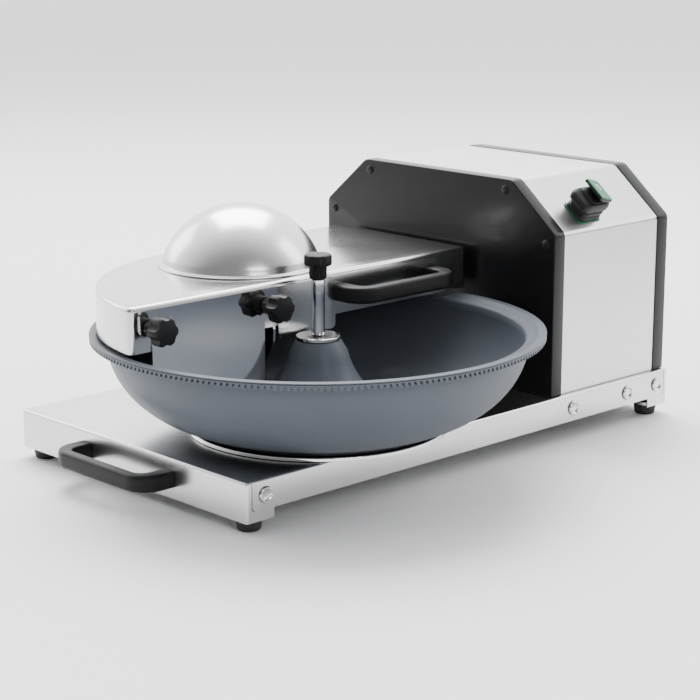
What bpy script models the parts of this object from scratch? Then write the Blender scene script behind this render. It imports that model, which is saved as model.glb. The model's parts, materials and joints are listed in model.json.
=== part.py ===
"""Bench meat bowl cutter: a turning bowl, two sickle knives on a motor shaft, a hinged lid.

Metres, +Z up. Every piece is laid out in the base's own frame: X along the base from its
free end to the motor housing, Y across it from the operator's side to the back, and Z = 0
on the top sheet of the base. One empty then stands the machine on the floor, with its
bounding box centred over the origin.
"""

import math

import bmesh
import bpy
from mathutils import Matrix, Vector

# Shared clearances and tolerances
REST_GAP = 0.0003
RUN_GAP = 0.0006
OVERRUN = 0.004
MERGE = 0.000002
ARC_STEPS = 3

# Base pan
BASE_LENGTH = 0.630
BASE_WIDTH = 0.360
SHEET = 0.0015
BEND_RADIUS = 0.003
FLANGE_DEPTH = 0.030
END_DEPTH = 0.040
TAB_LENGTH = 0.034
SIDE_SCREW_DROP = 0.0156
SIDE_SCREW_INSET = 0.0235
SIDE_SCREW_SETBACKS = (0.1643, 0.0718, 0.0195)
SIDE_SCREW_RADIUS = 0.006
SIDE_SCREW_HEAD = 0.0026
SIDE_SHANK_RADIUS = 0.0026
SIDE_SHANK_LENGTH = 0.0085
SIDE_SCREW_PLACES = (SIDE_SCREW_INSET,) + tuple(BASE_LENGTH - back for back in SIDE_SCREW_SETBACKS)

# Feet
FOOT_INSET = 0.017
FOOT_RADIUS = 0.013
FOOT_TAPER = 0.0016
FOOT_DROP = 0.012
FOOT_TOP_RISE = 0.003
FOOT_CHAMFER = 0.0012
FOOT_STUD_RADIUS = 0.0065

# Cross rails under the motor
RAIL_PLACES = SIDE_SCREW_PLACES[1:3]
RAIL_WIDTH = 0.030
RAIL_DEPTH = 0.024
RAIL_WALL = 0.0025

# Carrying handle and lid handle, the same moulding
HANDLE_LENGTH = 0.151
HANDLE_REACH = 0.040
HANDLE_FOOT = 0.0175
HANDLE_BAR = 0.012
HANDLE_HEIGHT = 0.017
HANDLE_OUTER_RADIUS = 0.025
HANDLE_INNER_RADIUS = 0.011
HANDLE_OUTER_CHAMFER = 0.0052
HANDLE_INNER_CHAMFER = 0.002
BASE_HANDLE_START = 0.1055
BASE_HANDLE_DROP = 0.0205
LID_HANDLE_START = 0.2236
LID_HANDLE_LEVEL = 0.128

# Bowl
BOWL_X = 0.183
BOWL_Y = 0.100
BOWL_SEGMENTS = 60
RIM_RADIUS = 0.229
RIM_WIDTH = 0.009
RIM_INNER_RADIUS = RIM_RADIUS - RIM_WIDTH
RIM_TOP = 0.1023
RIM_EDGE = 0.0012
LIP_RADIUS = 0.207
LIP_LEVEL = 0.096
SHELL_LEVEL = 0.0955
TROUGH_RADIUS = 0.117
TROUGH_CENTRE_LEVEL = 0.100
TROUGH_ROUND = 0.090
TROUGH_JOIN_RADIUS = 0.107
SHELL_CENTRE_RADIUS = 0.097
SHELL_BOTTOM = 0.0048
SHELL_OUTER_RADIUS = 0.212
SHELL_WALL = 0.004
SHELL_FOOT_OUTER = 0.129
SHELL_FOOT_INNER = 0.100
CONE_RADIUS = 0.025
CONE_TOP = 0.090
CONE_EDGE = 0.0026
CONE_WALL = 0.0045
HUB_LEVEL = 0.040
HUB_WEB_LEVEL = 0.012

# Toothed ring under the rim
RING_SECTORS = BOWL_SEGMENTS
TEETH_PER_SECTOR = 4
RING_SET_IN = 0.002
RING_SET_BACK = 0.0002
RING_INNER_RADIUS = RIM_INNER_RADIUS + RING_SET_IN
RING_OUTER_RADIUS = RIM_RADIUS - RING_SET_BACK
RING_TOP = 0.1008
TOOTH_ROOT = 0.0985
TOOTH_CREST = 0.0955
CREST_SHARE = 0.27
ROOT_SHARE = 0.49

# Turntable and bowl post
TABLE_RADIUS = 0.133
TABLE_TOP = 0.0045
TABLE_LIFT = 0.0005
TABLE_EDGE = 0.001
TABLE_HUB_RADIUS = 0.014
TABLE_HUB_DROP = 0.0027
TABLE_PORT_RADIUS = 0.0165
POST_RADIUS = 0.010
POST_TOP = 0.0857
POST_BOTTOM = -0.033
POST_BORE_DEPTH = 0.020
STUD_RADIUS = 0.005
STUD_LENGTH = 0.016
CUP_RADIUS = 0.026
CUP_FLANGE_RADIUS = 0.041
CUP_FLANGE = 0.005
CUP_BOTTOM = -0.036
CUP_FLOOR = 0.0015
BEARING_RADIUS = 0.021
BEARING_HEIGHT = 0.012

# Clamp, spindle and its knob
CLAMP_RADIUS = 0.0225
CLAMP_HEIGHT = 0.0037
CLAMP_EDGE = 0.0008
SPINDLE_RADIUS = 0.00675
SPINDLE_TOP = 0.1512
SPINDLE_EDGE = 0.0008
SPINDLE_TIP_RADIUS = 0.004
SPINDLE_TIP_LENGTH = 0.012
KNOB_HUB_RADIUS = 0.009
KNOB_HUB_TOP = 0.1654
KNOB_HUB_ROUND = 0.003
KNOB_RADIUS = 0.014
KNOB_TOP = 0.177
KNOB_EDGE = 0.0016
KNOB_CEILING = 0.004
KNOB_FLUTES = 8
KNOB_FLUTE_SHARE = 0.07

# Housing
FRONT_PLATE_X = 0.435
FRONT_PLATE = 0.017
REAR_PLATE = 0.0185
REAR_PLATE_X = 0.6095
HOUSING_NEAR = 0.0055
HOUSING_FAR = 0.3545
HOUSING_SIDE_HEIGHT = 0.176
HOUSING_HEIGHT = 0.2283
HOUSING_CHAMFER_RUN = 0.0628
PLATE_EDGE = 0.002
WRAP_INSET = 0.001
WRAP_WALL = 0.0015
VENT_COUNT = 6
VENT_LENGTH = 0.056
VENT_HEIGHT = 0.005
VENT_PITCH = 0.013

# Switch on the near chamfer: places along X, up the slope and above it
SWITCH_X = 0.501
SWITCH_UP = 0.0240
SWITCH_PORT_LENGTH = 0.022
SWITCH_PORT_WIDTH = 0.020
SWITCH_SHANK_DROP = 0.012
SWITCH_BASE_LENGTH = 0.030
SWITCH_BASE_WIDTH = 0.0255
SWITCH_BASE_HEIGHT = 0.003
SWITCH_NECK_LENGTH = 0.027
SWITCH_NECK_WIDTH = 0.0235
SWITCH_NECK_HEIGHT = 0.015
SWITCH_FLANGE_LENGTH = 0.043
SWITCH_FLANGE_WIDTH = 0.030
SWITCH_FLANGE_SHIFT = -0.003
SWITCH_FLANGE_HEIGHT = 0.026
SWITCH_FLANGE_EDGE = 0.004
SWITCH_CORNER = 0.005
SWITCH_POST_HALF = 0.003
SWITCH_POST_WIDTH = 0.020
ROCKER_PIVOT_HEIGHT = 0.031
ROCKER_HALF = 0.0125
ROCKER_WIDTH = 0.0285
ROCKER_UP = 0.005
ROCKER_DOWN = 0.001
ROCKER_TILT = math.radians(18)
ROCKER_EDGE = 0.0008

# Knife shaft and motor
KNIFE_Y = 0.217
KNIFE_Z = 0.112
SHAFT_RADIUS = 0.008
SHAFT_START = 0.165
SHAFT_END = 0.592
SHAFT_EDGE = 0.0008
COLLAR_RADIUS = 0.014
COLLAR_LENGTH = 0.006
SEAL_RADIUS = 0.0165
SEAL_START = 0.437
SEAL_LENGTH = 0.009
MOTOR_SEGMENTS = 20
BELL_RADIUS = 0.060
BELL_START = 0.4525
BELL_LENGTH = 0.018
BELL_NOSE_RADIUS = 0.030
BELL_EDGE = 0.006
MOTOR_BEARING_RADIUS = 0.0175
MOTOR_BEARING_LENGTH = 0.012
STATOR_RADIUS = 0.062
STATOR_BORE = 0.036
STATOR_LENGTH = 0.082
FIN_COUNT = 16
FIN_LAND_SHARE = 0.7
FIN_SHARE = 0.05
MOTOR_FOOT_HALF = 0.046
MOTOR_FOOT_HEIGHT = 0.010
MOTOR_FOOT_INSET = 0.008
MOTOR_POST_HALF = 0.030
ROTOR_RADIUS = 0.0352
ROTOR_INSET = 0.006
FAN_RADIUS = 0.050
FAN_HUB_RADIUS = 0.016
FAN_LENGTH = 0.012
FAN_DISC = 0.002
FAN_BLADES = 8
FAN_BLADE_WALL = 0.0022

# Bowl drive
PINION_TEETH = 20
PINION_LENGTH = 0.0075
PINION_TIP_GAP = 0.0003
PINION_DEPTH = 0.0034
PINION_TIP_SHARE = 0.22
PINION_FOOT_SHARE = 0.52
PINION_SHAFT_RADIUS = 0.005
BUSH_RADIUS = 0.010
BUSH_LENGTH = 0.015
GEARBOX_RADIUS = 0.040
GEARBOX_LENGTH = 0.034
GEARMOTOR_RADIUS = 0.033
GEARMOTOR_LENGTH = 0.060
GEARMOTOR_EDGE = 0.002
DRIVE_BORE_DEPTH = 0.012

# Run capacitor and cable gland
CAPACITOR_X = 0.585
CAPACITOR_Y = 0.045
CAPACITOR_RADIUS = 0.018
CAPACITOR_HEIGHT = 0.070
CAPACITOR_EDGE = 0.0015
GLAND_Y = 0.060
GLAND_Z = 0.034
GLAND_BORE = 0.004
GLAND_SHANK_RADIUS = 0.008
GLAND_NUT_RADIUS = 0.0115
GLAND_NUT = 0.006
GLAND_DOME = 0.009
GLAND_DOME_RADIUS = 0.009
GLAND_LIP = 0.0015
GLAND_SIDES = 12

# Knives
KNIFE_WALL = 0.003
KNIFE_START = 0.1835
KNIFE_SPACER = 0.0055
KNIFE_HUB_RADIUS = 0.019
KNIFE_TIP_RADIUS = 0.080
KNIFE_ROOT_SHARE = 0.36
KNIFE_HOLLOW_SHARE = 0.108
KNIFE_SWEEP = math.radians(118)
KNIFE_BACK_LAG = math.radians(52)
KNIFE_STEPS = 10
SPACER_RADIUS = 0.016
NUT_RADIUS = 0.0145
NUT_LENGTH = 0.009
NUT_SIDES = 6

# Lid
LID_FRONT = 0.1215
LID_BACK = 0.321
LID_RIGHT = 0.424
LID_RADIUS = 0.221
LID_TOP = 0.1504
LID_BOTTOM = 0.1055
LID_EDGE = 0.004
LID_CORNER = 0.005
LID_ARC_STEPS = 16
LID_TAB_START = 0.150
LID_TAB_END = 0.227
LID_TAB_BOTTOM = 0.091
LID_TAB_CORNER = 0.005
RECESS_START = 0.145
RECESS_END = 0.221
RECESS_DEPTH = 0.0052
RECESS_STEPS = 8
LID_NOTCH_GAP = 0.004
LID_NOTCH_STEPS = 6
DOME_PORT_RADIUS = 0.083
DOME_Y = 0.218
DOME_RADIUS = 0.084
DOME_FLANGE_RADIUS = 0.087
DOME_HEIGHT = 0.0635
DOME_SEGMENTS = 36
DOME_STEPS = 5
DOME_FILLET_SHARE = 0.45

# Lid hinge
HINGE_Y = 0.331
HINGE_Z = 0.125
HINGE_ROD_RADIUS = 0.006
HINGE_ROD_START = 0.230
HINGE_ROD_EDGE = 0.001
BARREL_LENGTH = 0.040
BARREL_PLACES = (0.245, 0.372)

# Deflector plate and its star knobs
DEFLECTOR_WALL = 0.0015
DEFLECTOR_START = -0.012
DEFLECTOR_END = 0.129
EAR_START = -0.026
EAR_END = 0.145
EAR_BOTTOM = 0.1217
EAR_TOP = 0.146
EAR_CORNER = 0.005
DEFLECTOR_STEPS = 12
DEFLECTOR_CLEARANCE = 0.010
STAR_PLACES = (-0.015, 0.1315)
STAR_LEVEL = 0.129
STAR_STUD_RADIUS = 0.003
STAR_STUD_END = 0.128
STAR_HUB_RADIUS = 0.0085
STAR_HUB = 0.012
STAR_HEAD = 0.0155
STAR_RADIUS = 0.0147
STAR_LOBES = 6
STAR_LOBE_SHARE = 0.13
STAR_EDGE = 0.0022

# Places that follow from the sizes above
BASE_TOP_LEVEL = END_DEPTH + FOOT_DROP
CENTRE_X = ((BOWL_X - RIM_RADIUS) + (REAR_PLATE_X + REAR_PLATE + REST_GAP + GLAND_NUT + GLAND_DOME)) / 2
CENTRE_Y = ((BOWL_Y - RIM_RADIUS) + (BASE_WIDTH + REST_GAP + SIDE_SCREW_HEAD)) / 2
TRACK_RADIUS = (RING_INNER_RADIUS + RING_OUTER_RADIUS) / 2
PINION_RADIUS = TRACK_RADIUS * PINION_TEETH / (RING_SECTORS * TEETH_PER_SECTOR)
PINION_START = BOWL_X + RING_INNER_RADIUS + RUN_GAP
COLLAR_START = KNIFE_START + KNIFE_WALL * 2 + KNIFE_SPACER + REST_GAP * 3
PITCH_LEVEL = (TOOTH_ROOT + TOOTH_CREST) / 2
PINION_Z = PITCH_LEVEL - PINION_RADIUS
PINION_TIP_RADIUS = TOOTH_ROOT - PINION_TIP_GAP - PINION_Z
HOUSING_CHAMFER_RISE = HOUSING_HEIGHT - HOUSING_SIDE_HEIGHT


def clear_scene():
    for item in list(bpy.data.objects):
        bpy.data.objects.remove(item, do_unlink=True)


def material(name, colour, roughness, metallic):
    made = bpy.data.materials.new(name)
    made.use_nodes = True
    shader = made.node_tree.nodes["Principled BSDF"]
    shader.inputs["Base Color"].default_value = (*colour, 1)
    shader.inputs["Roughness"].default_value = roughness
    shader.inputs["Metallic"].default_value = metallic
    return made


def empty(name, place, parent=None):
    made = bpy.data.objects.new(name, None)
    bpy.context.scene.collection.objects.link(made)
    made.parent = parent
    origin = design_origin(parent) if parent else Vector((0, 0, 0))
    made.location = Vector(place) - origin
    return made


def design_origin(item):
    """An empty's place in the base's frame; the stand itself is that frame's origin."""
    place = Vector((0, 0, 0))
    while item is not None and item.name != "stand":
        place += item.location
        item = item.parent
    return place


def made_object(name, bm, parent):
    bmesh.ops.recalc_face_normals(bm, faces=bm.faces)
    mesh = bpy.data.meshes.new(name)
    bm.transform(Matrix.Translation(-design_origin(parent)))
    bm.to_mesh(mesh)
    bm.free()
    item = bpy.data.objects.new(name, mesh)
    bpy.context.scene.collection.objects.link(item)
    item.parent = parent
    return item


def piece(name, bm, look, parent):
    """A named piece from a mesh laid out in the base's frame."""
    item = made_object(name, bm, parent)
    item.data.materials.append(look)
    item.data.shade_smooth()
    item.data.set_sharp_from_angle(angle=math.radians(35))
    return item


def carve(item, bm, parent, operation="DIFFERENCE"):
    """Cuts the mesh from the piece, or joins it on."""
    name = f"{item.name}_cutter_{len(item.modifiers)}"
    cutter = made_object(name, bm, parent)
    cutter.hide_render = True
    cutter.display_type = "WIRE"
    change = item.modifiers.new(name, "BOOLEAN")
    change.operation = operation
    change.object = cutter


def spread(points, axis, level):
    """Flat outline points at one level along an axis."""
    if axis == "X":
        return [(level, a, b) for a, b in points]
    if axis == "Y":
        return [(a, level, b) for a, b in points]
    return [(a, b, level) for a, b in points]


def prism(points, axis, low, high):
    bm = bmesh.new()
    face = bm.faces.new([bm.verts.new(p) for p in spread(points, axis, low)])
    out = bmesh.ops.extrude_face_region(bm, geom=[face])
    moved = [v for v in out["geom"] if isinstance(v, bmesh.types.BMVert)]
    step = Vector(spread([(0, 0)], axis, high - low)[0])
    bmesh.ops.translate(bm, verts=moved, vec=step)
    bmesh.ops.recalc_face_normals(bm, faces=bm.faces)
    return bm


def box(low, high):
    (x0, y0, z0), (x1, y1, z1) = low, high
    return prism([(x0, y0), (x1, y0), (x1, y1), (x0, y1)], "Z", z0, z1)


def turned(profile, segments, merge=MERGE):
    """Revolves a closed (radius, height) outline round Z."""
    bm = bmesh.new()
    ring = [bm.verts.new((r, 0, z)) for r, z in profile]
    edges = []
    for a, b in zip(ring, ring[1:] + ring[:1]):
        if a.co.x > merge or b.co.x > merge:
            edges.append(bm.edges.new((a, b)))
    bmesh.ops.spin(bm, geom=ring + edges, cent=(0, 0, 0), axis=(0, 0, 1), dvec=(0, 0, 0),
                   angle=math.tau, steps=segments, use_merge=True, use_duplicate=False)
    bmesh.ops.remove_doubles(bm, verts=bm.verts, dist=merge)
    bmesh.ops.recalc_face_normals(bm, faces=bm.faces)
    return bm


def rod(radius, low, high, segments, edge=0):
    """A turned bar along Z with eased ends."""
    outline = [(0, low), (radius - edge, low), (radius, low + edge), (radius, high - edge), (radius - edge, high),
               (0, high)]
    if not edge:
        outline = [(0, low), (radius, low), (radius, high), (0, high)]
    return turned(outline, segments)


def tube(inner, outer, low, high, segments, edge=0):
    outline = [(inner, low), (outer - edge, low), (outer, low + edge), (outer, high - edge), (outer - edge, high),
               (inner, high)]
    if not edge:
        outline = [(inner, low), (outer, low), (outer, high), (inner, high)]
    return turned(outline, segments)


def at(bm, place):
    bm.transform(Matrix.Translation(Vector(place)))
    return bm


def along_x(bm, y, z, x=0):
    """Turns a piece made along Z to lie along +X."""
    bm.transform(Matrix.Translation((x, y, z)) @ Matrix.Rotation(math.pi / 2, 4, "Y"))
    return bm


def along_front(bm, x, z, y=0):
    """Turns a piece made along Z to point to -Y."""
    bm.transform(Matrix.Translation((x, y, z)) @ Matrix.Rotation(math.pi / 2, 4, "X"))
    return bm


def eased(bm, width, chosen, segments=2):
    edges = [e for e in bm.edges if chosen(e)]
    bmesh.ops.bevel(bm, geom=edges, offset=width, segments=segments, profile=0.5, affect="EDGES",
                    clamp_overlap=True)
    return bm


def upright(edge):
    a, b = edge.verts
    return abs((b.co - a.co).normalized().z) > 0.99


def rounded(points, radii, steps=ARC_STEPS):
    """An outline whose corners become arcs of their own radii."""
    result = []
    count = len(points)
    for i, (spot, radius) in enumerate(zip(points, radii)):
        if not radius:
            result.append(spot)
            continue
        here = Vector(spot)
        u = (Vector(points[i - 1]) - here).normalized()
        v = (Vector(points[(i + 1) % count]) - here).normalized()
        half = u.angle(v) / 2
        centre = here + (u + v).normalized() * (radius / math.sin(half))
        first = here + u * (radius / math.tan(half)) - centre
        last = here + v * (radius / math.tan(half)) - centre
        turn = math.atan2(first.x * last.y - first.y * last.x, first.dot(last))
        for k in range(steps + 1):
            a = turn * k / steps
            result.append((centre.x + first.x * math.cos(a) - first.y * math.sin(a),
                           centre.y + first.x * math.sin(a) + first.y * math.cos(a)))
    return result


def arc(cx, cy, radius, start, end, steps):
    return [(cx + radius * math.cos(start + (end - start) * k / steps),
             cy + radius * math.sin(start + (end - start) * k / steps)) for k in range(steps + 1)]


def trough_level(radius, clearance=0):
    """Height of the bowl's inner surface at a radius, less a clearance."""
    join_drop = math.sqrt(TROUGH_ROUND ** 2 - (TROUGH_JOIN_RADIUS - TROUGH_RADIUS) ** 2)
    if radius < TROUGH_JOIN_RADIUS:
        return TROUGH_CENTRE_LEVEL - math.sqrt((TROUGH_ROUND - clearance) ** 2 - (radius - TROUGH_RADIUS) ** 2)
    reach = SHELL_OUTER_RADIUS - SHELL_WALL - SHELL_CENTRE_RADIUS
    share = (TROUGH_JOIN_RADIUS - SHELL_CENTRE_RADIUS) / reach
    depth = (SHELL_LEVEL - TROUGH_CENTRE_LEVEL + join_drop) / math.sqrt(1 - share ** 2)
    along = min(1, (radius - SHELL_CENTRE_RADIUS) / (reach - clearance))
    return SHELL_LEVEL - (depth - clearance) * math.sqrt(1 - along ** 2)


def handle(place, low_level):
    """Bow handle lying along its wall, reaching out to -X of the local frame; its ends sit on the wall."""
    outline = [(0, 0), (HANDLE_REACH, 0), (HANDLE_REACH, HANDLE_LENGTH), (0, HANDLE_LENGTH),
               (0, HANDLE_LENGTH - HANDLE_FOOT), (HANDLE_REACH - HANDLE_BAR, HANDLE_LENGTH - HANDLE_FOOT),
               (HANDLE_REACH - HANDLE_BAR, HANDLE_FOOT), (0, HANDLE_FOOT)]
    radii = [0, HANDLE_OUTER_RADIUS, HANDLE_OUTER_RADIUS, 0, 0, HANDLE_INNER_RADIUS, HANDLE_INNER_RADIUS, 0]
    bm = prism([(-a, b) for a, b in rounded(outline, radii, 4)], "Z", low_level, low_level + HANDLE_HEIGHT)
    reach, half = HANDLE_REACH, HANDLE_LENGTH / 2

    def outer(edge):
        if upright(edge):
            return False
        middle = (edge.verts[0].co + edge.verts[1].co) / 2
        if middle.x > -MERGE:
            return False
        inside = middle.x > HANDLE_BAR - reach - MERGE and abs(middle.y - half) < half - HANDLE_FOOT + MERGE
        return not inside

    def inner(edge):
        middle = (edge.verts[0].co + edge.verts[1].co) / 2
        level = abs(edge.verts[0].co.z - edge.verts[1].co.z) < MERGE
        flat = abs(middle.z - low_level) < MERGE or abs(middle.z - low_level - HANDLE_HEIGHT) < MERGE
        inside = middle.x > HANDLE_BAR - reach - MERGE and abs(middle.y - half) < half - HANDLE_FOOT + MERGE
        return level and flat and inside and middle.x < -MERGE

    eased(bm, HANDLE_OUTER_CHAMFER, outer, 2)
    eased(bm, HANDLE_INNER_CHAMFER, inner, 1)
    return bm


clear_scene()
stand = empty("stand", (0, 0, 0))
stand.location = (-CENTRE_X, -CENTRE_Y, BASE_TOP_LEVEL)
bowl_axis = empty("bowl_axis", (BOWL_X, BOWL_Y, 0), stand)
pinion_axis = empty("pinion_axis", (PINION_START, BOWL_Y, PINION_Z), stand)
knife_axis = empty("knife_axis", (KNIFE_START, KNIFE_Y, KNIFE_Z), stand)
lid_axis = empty("lid_axis", (BOWL_X, HINGE_Y, HINGE_Z), stand)
top_knob_axis = empty("top_knob_axis", (BOWL_X, BOWL_Y, KNOB_HUB_TOP), bowl_axis)

satin_steel = material("satin_steel", (0.62, 0.62, 0.60), 0.28, 1.0)
mirror_steel = material("mirror_steel", (0.78, 0.78, 0.77), 0.08, 1.0)
bright_steel = material("bright_steel", (0.72, 0.72, 0.71), 0.16, 1.0)
bowl_grey = material("bowl_grey", (0.17, 0.185, 0.21), 0.42, 0.35)
black_coat = material("black_coat", (0.016, 0.017, 0.019), 0.22, 0.0)
black_plastic = material("black_plastic", (0.013, 0.013, 0.014), 0.38, 0.0)
rubber = material("rubber", (0.02, 0.02, 0.02), 0.7, 0.0)
switch_green = material("switch_green", (0.02, 0.30, 0.09), 0.35, 0.0)
cast_alloy = material("cast_alloy", (0.52, 0.53, 0.54), 0.45, 0.9)
laminations = material("laminations", (0.24, 0.25, 0.27), 0.5, 0.9)
brass = material("brass", (0.72, 0.52, 0.22), 0.3, 1.0)

# Base pan: a bent sheet with full end walls, tabs lapped round the corners and shallower side flanges
tab_end = BASE_LENGTH - TAB_LENGTH
side = [(0, 0), (BASE_LENGTH, 0), (BASE_LENGTH, -END_DEPTH), (tab_end, -END_DEPTH), (tab_end, -FLANGE_DEPTH),
        (TAB_LENGTH, -FLANGE_DEPTH), (TAB_LENGTH, -END_DEPTH), (0, -END_DEPTH)]
pan = prism(side, "Y", 0, BASE_WIDTH)


def outer_bend(edge):
    a, b = (v.co for v in edge.verts)
    top = abs(a.z) < MERGE and abs(b.z) < MERGE
    corner = all(min(abs(p.x), abs(p.x - BASE_LENGTH)) < MERGE for p in (a, b)) and abs(a.z - b.z) > MERGE
    return top or corner


eased(pan, BEND_RADIUS, outer_bend, 3)
base_pan = piece("base_pan", pan, satin_steel, stand)
hollow = box((SHEET, SHEET, -END_DEPTH - OVERRUN), (BASE_LENGTH - SHEET, BASE_WIDTH - SHEET, -SHEET))
eased(hollow, BEND_RADIUS - SHEET, lambda e: max(v.co.z for v in e.verts) > -SHEET - MERGE, 2)
carve(base_pan, hollow, stand)
carve(base_pan, at(rod(TABLE_PORT_RADIUS, -SHEET - OVERRUN, OVERRUN, 24), (BOWL_X, BOWL_Y, 0)), stand)
screw_hole = SIDE_SHANK_RADIUS + REST_GAP
for x in SIDE_SCREW_PLACES:
    for wall in (0, BASE_WIDTH - SHEET):
        hole = along_front(rod(screw_hole, -SHEET - OVERRUN, OVERRUN, 8), x, -SIDE_SCREW_DROP, wall)
        carve(base_pan, hole, stand)

# Side screws: low domed heads, shanks through the flange
dome_steps = 2
head_outline = [(0, -SIDE_SHANK_LENGTH), (SIDE_SHANK_RADIUS, -SIDE_SHANK_LENGTH), (SIDE_SHANK_RADIUS, REST_GAP),
                (SIDE_SCREW_RADIUS, REST_GAP)]
for k in range(1, dome_steps + 1):
    turn = math.pi / 2 * k / dome_steps
    head_outline.append((SIDE_SCREW_RADIUS * math.cos(turn) if k < dome_steps else 0,
                         REST_GAP + SIDE_SCREW_HEAD * math.sin(turn)))
for row, wall in (("near", 0), ("far", BASE_WIDTH)):
    for number, x in enumerate(SIDE_SCREW_PLACES, 1):
        screw = turned(head_outline, 10)
        if row == "far":
            screw.transform(Matrix.Rotation(math.pi, 4, "X"))
        piece(f"side_screw_{row}_{number}", along_front(screw, x, -SIDE_SCREW_DROP, wall), bright_steel, stand)

# Feet: tapered rubber with a steel-cored stud up to the top sheet
foot_top = -END_DEPTH + FOOT_TOP_RISE
foot_low = -END_DEPTH - FOOT_DROP
foot_outline = [(0, foot_low), (FOOT_RADIUS - FOOT_TAPER - FOOT_CHAMFER, foot_low),
                (FOOT_RADIUS - FOOT_TAPER, foot_low + FOOT_CHAMFER), (FOOT_RADIUS, foot_top),
                (FOOT_STUD_RADIUS, foot_top), (FOOT_STUD_RADIUS, -SHEET - REST_GAP), (0, -SHEET - REST_GAP)]
for end, x in (("free", FOOT_INSET), ("motor", BASE_LENGTH - FOOT_INSET)):
    for row, y in (("near", FOOT_INSET), ("far", BASE_WIDTH - FOOT_INSET)):
        foot = at(turned(foot_outline, 14), (x, y, 0))
        piece(f"foot_{end}_{row}", foot, rubber, stand)

# Cross rails that stiffen the top sheet under the motor
rail_top = -SHEET - REST_GAP
rail_end = BEND_RADIUS + REST_GAP
for number, x in enumerate(RAIL_PLACES, 1):
    half = RAIL_WIDTH / 2
    inner = half - RAIL_WALL
    low = rail_top - RAIL_DEPTH
    channel = [(x - half, low), (x - inner, low), (x - inner, rail_top - RAIL_WALL),
               (x + inner, rail_top - RAIL_WALL), (x + inner, low), (x + half, low), (x + half, rail_top),
               (x - half, rail_top)]
    rail = piece(f"cross_rail_{number}", prism(channel, "Y", rail_end, BASE_WIDTH - rail_end), satin_steel, stand)

# Carrying handle on the free end wall
grip = handle(0, -BASE_HANDLE_DROP - HANDLE_HEIGHT / 2)
piece("base_handle", at(grip, (-REST_GAP, BASE_HANDLE_START, 0)), black_plastic, stand)

# Bowl post in its cup: two bearings under the top sheet carry the turning post
cup_top = -SHEET - REST_GAP
cup_bore = BEARING_RADIUS + REST_GAP
cup = [(POST_RADIUS + RUN_GAP, CUP_BOTTOM), (CUP_RADIUS, CUP_BOTTOM), (CUP_RADIUS, cup_top - CUP_FLANGE),
       (CUP_FLANGE_RADIUS, cup_top - CUP_FLANGE), (CUP_FLANGE_RADIUS, cup_top), (cup_bore, cup_top),
       (cup_bore, CUP_BOTTOM + CUP_FLOOR), (POST_RADIUS + RUN_GAP, CUP_BOTTOM + CUP_FLOOR)]
piece("bowl_bearing_cup", at(turned(cup, 20), (BOWL_X, BOWL_Y, 0)), cast_alloy, stand)


lower_start = CUP_BOTTOM + CUP_FLOOR + REST_GAP
upper_end = -TABLE_HUB_DROP - REST_GAP
for name, low in (("lower", lower_start), ("upper", upper_end - BEARING_HEIGHT)):
    race = tube(POST_RADIUS + REST_GAP, BEARING_RADIUS, low, low + BEARING_HEIGHT, 18)
    piece(f"post_bearing_{name}", at(race, (BOWL_X, BOWL_Y, 0)), bright_steel, stand)

# Turntable disc the bowl stands on, with its hub down to the upper bearing
table_bore = POST_RADIUS + REST_GAP
table = [(table_bore, -TABLE_HUB_DROP), (TABLE_HUB_RADIUS, -TABLE_HUB_DROP), (TABLE_HUB_RADIUS, TABLE_LIFT),
         (TABLE_RADIUS, TABLE_LIFT), (TABLE_RADIUS, TABLE_TOP - TABLE_EDGE), (TABLE_RADIUS - TABLE_EDGE, TABLE_TOP),
         (table_bore, TABLE_TOP)]
piece("bowl_turntable", at(turned(table, 36), (BOWL_X, BOWL_Y, 0)), mirror_steel, bowl_axis)

stud_bore = STUD_RADIUS + REST_GAP
bore_floor = POST_TOP - POST_BORE_DEPTH
post = [(0, POST_BOTTOM), (POST_RADIUS - SHAFT_EDGE, POST_BOTTOM), (POST_RADIUS, POST_BOTTOM + SHAFT_EDGE),
        (POST_RADIUS, POST_TOP - SHAFT_EDGE), (POST_RADIUS - SHAFT_EDGE, POST_TOP), (stud_bore, POST_TOP),
        (stud_bore, bore_floor), (0, bore_floor)]
piece("bowl_post", at(turned(post, 16), (BOWL_X, BOWL_Y, 0)), bright_steel, bowl_axis)

# Bowl: ring trough with a central cone, a wide rim, and a hub that slips over the post
inside = [(CONE_RADIUS - CONE_EDGE, CONE_TOP)]
cone_turns = 5
for k in range(cone_turns + 1):
    drop = CONE_TOP - CONE_EDGE - (CONE_TOP - CONE_EDGE - (TROUGH_CENTRE_LEVEL - TROUGH_ROUND)) * math.sin(
        math.pi / 2 * k / cone_turns)
    across = math.sqrt(max(0, TROUGH_ROUND ** 2 - (TROUGH_CENTRE_LEVEL - drop) ** 2))
    inside.append((min(TROUGH_RADIUS - across, TROUGH_JOIN_RADIUS), drop))
reach = SHELL_OUTER_RADIUS - SHELL_WALL - SHELL_CENTRE_RADIUS
bowl_turns = 6
for k in range(1, bowl_turns + 1):
    turn = math.pi / 2 * k / bowl_turns
    r = SHELL_CENTRE_RADIUS + reach * math.sin(turn)
    if r > TROUGH_JOIN_RADIUS + SHELL_WALL:
        inside.append((r, trough_level(r)))
rim = [(RIM_INNER_RADIUS, RIM_TOP - RIM_EDGE), (RIM_INNER_RADIUS + RIM_EDGE, RIM_TOP),
       (RIM_RADIUS - RIM_EDGE, RIM_TOP), (RIM_RADIUS, RIM_TOP - RIM_EDGE), (RIM_RADIUS, RING_TOP + REST_GAP),
       (RING_INNER_RADIUS - REST_GAP, RING_TOP + REST_GAP), (RING_INNER_RADIUS - REST_GAP, SHELL_LEVEL)]
outside = []
outer_reach = SHELL_OUTER_RADIUS - SHELL_CENTRE_RADIUS
outer_depth = SHELL_LEVEL - SHELL_BOTTOM
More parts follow.
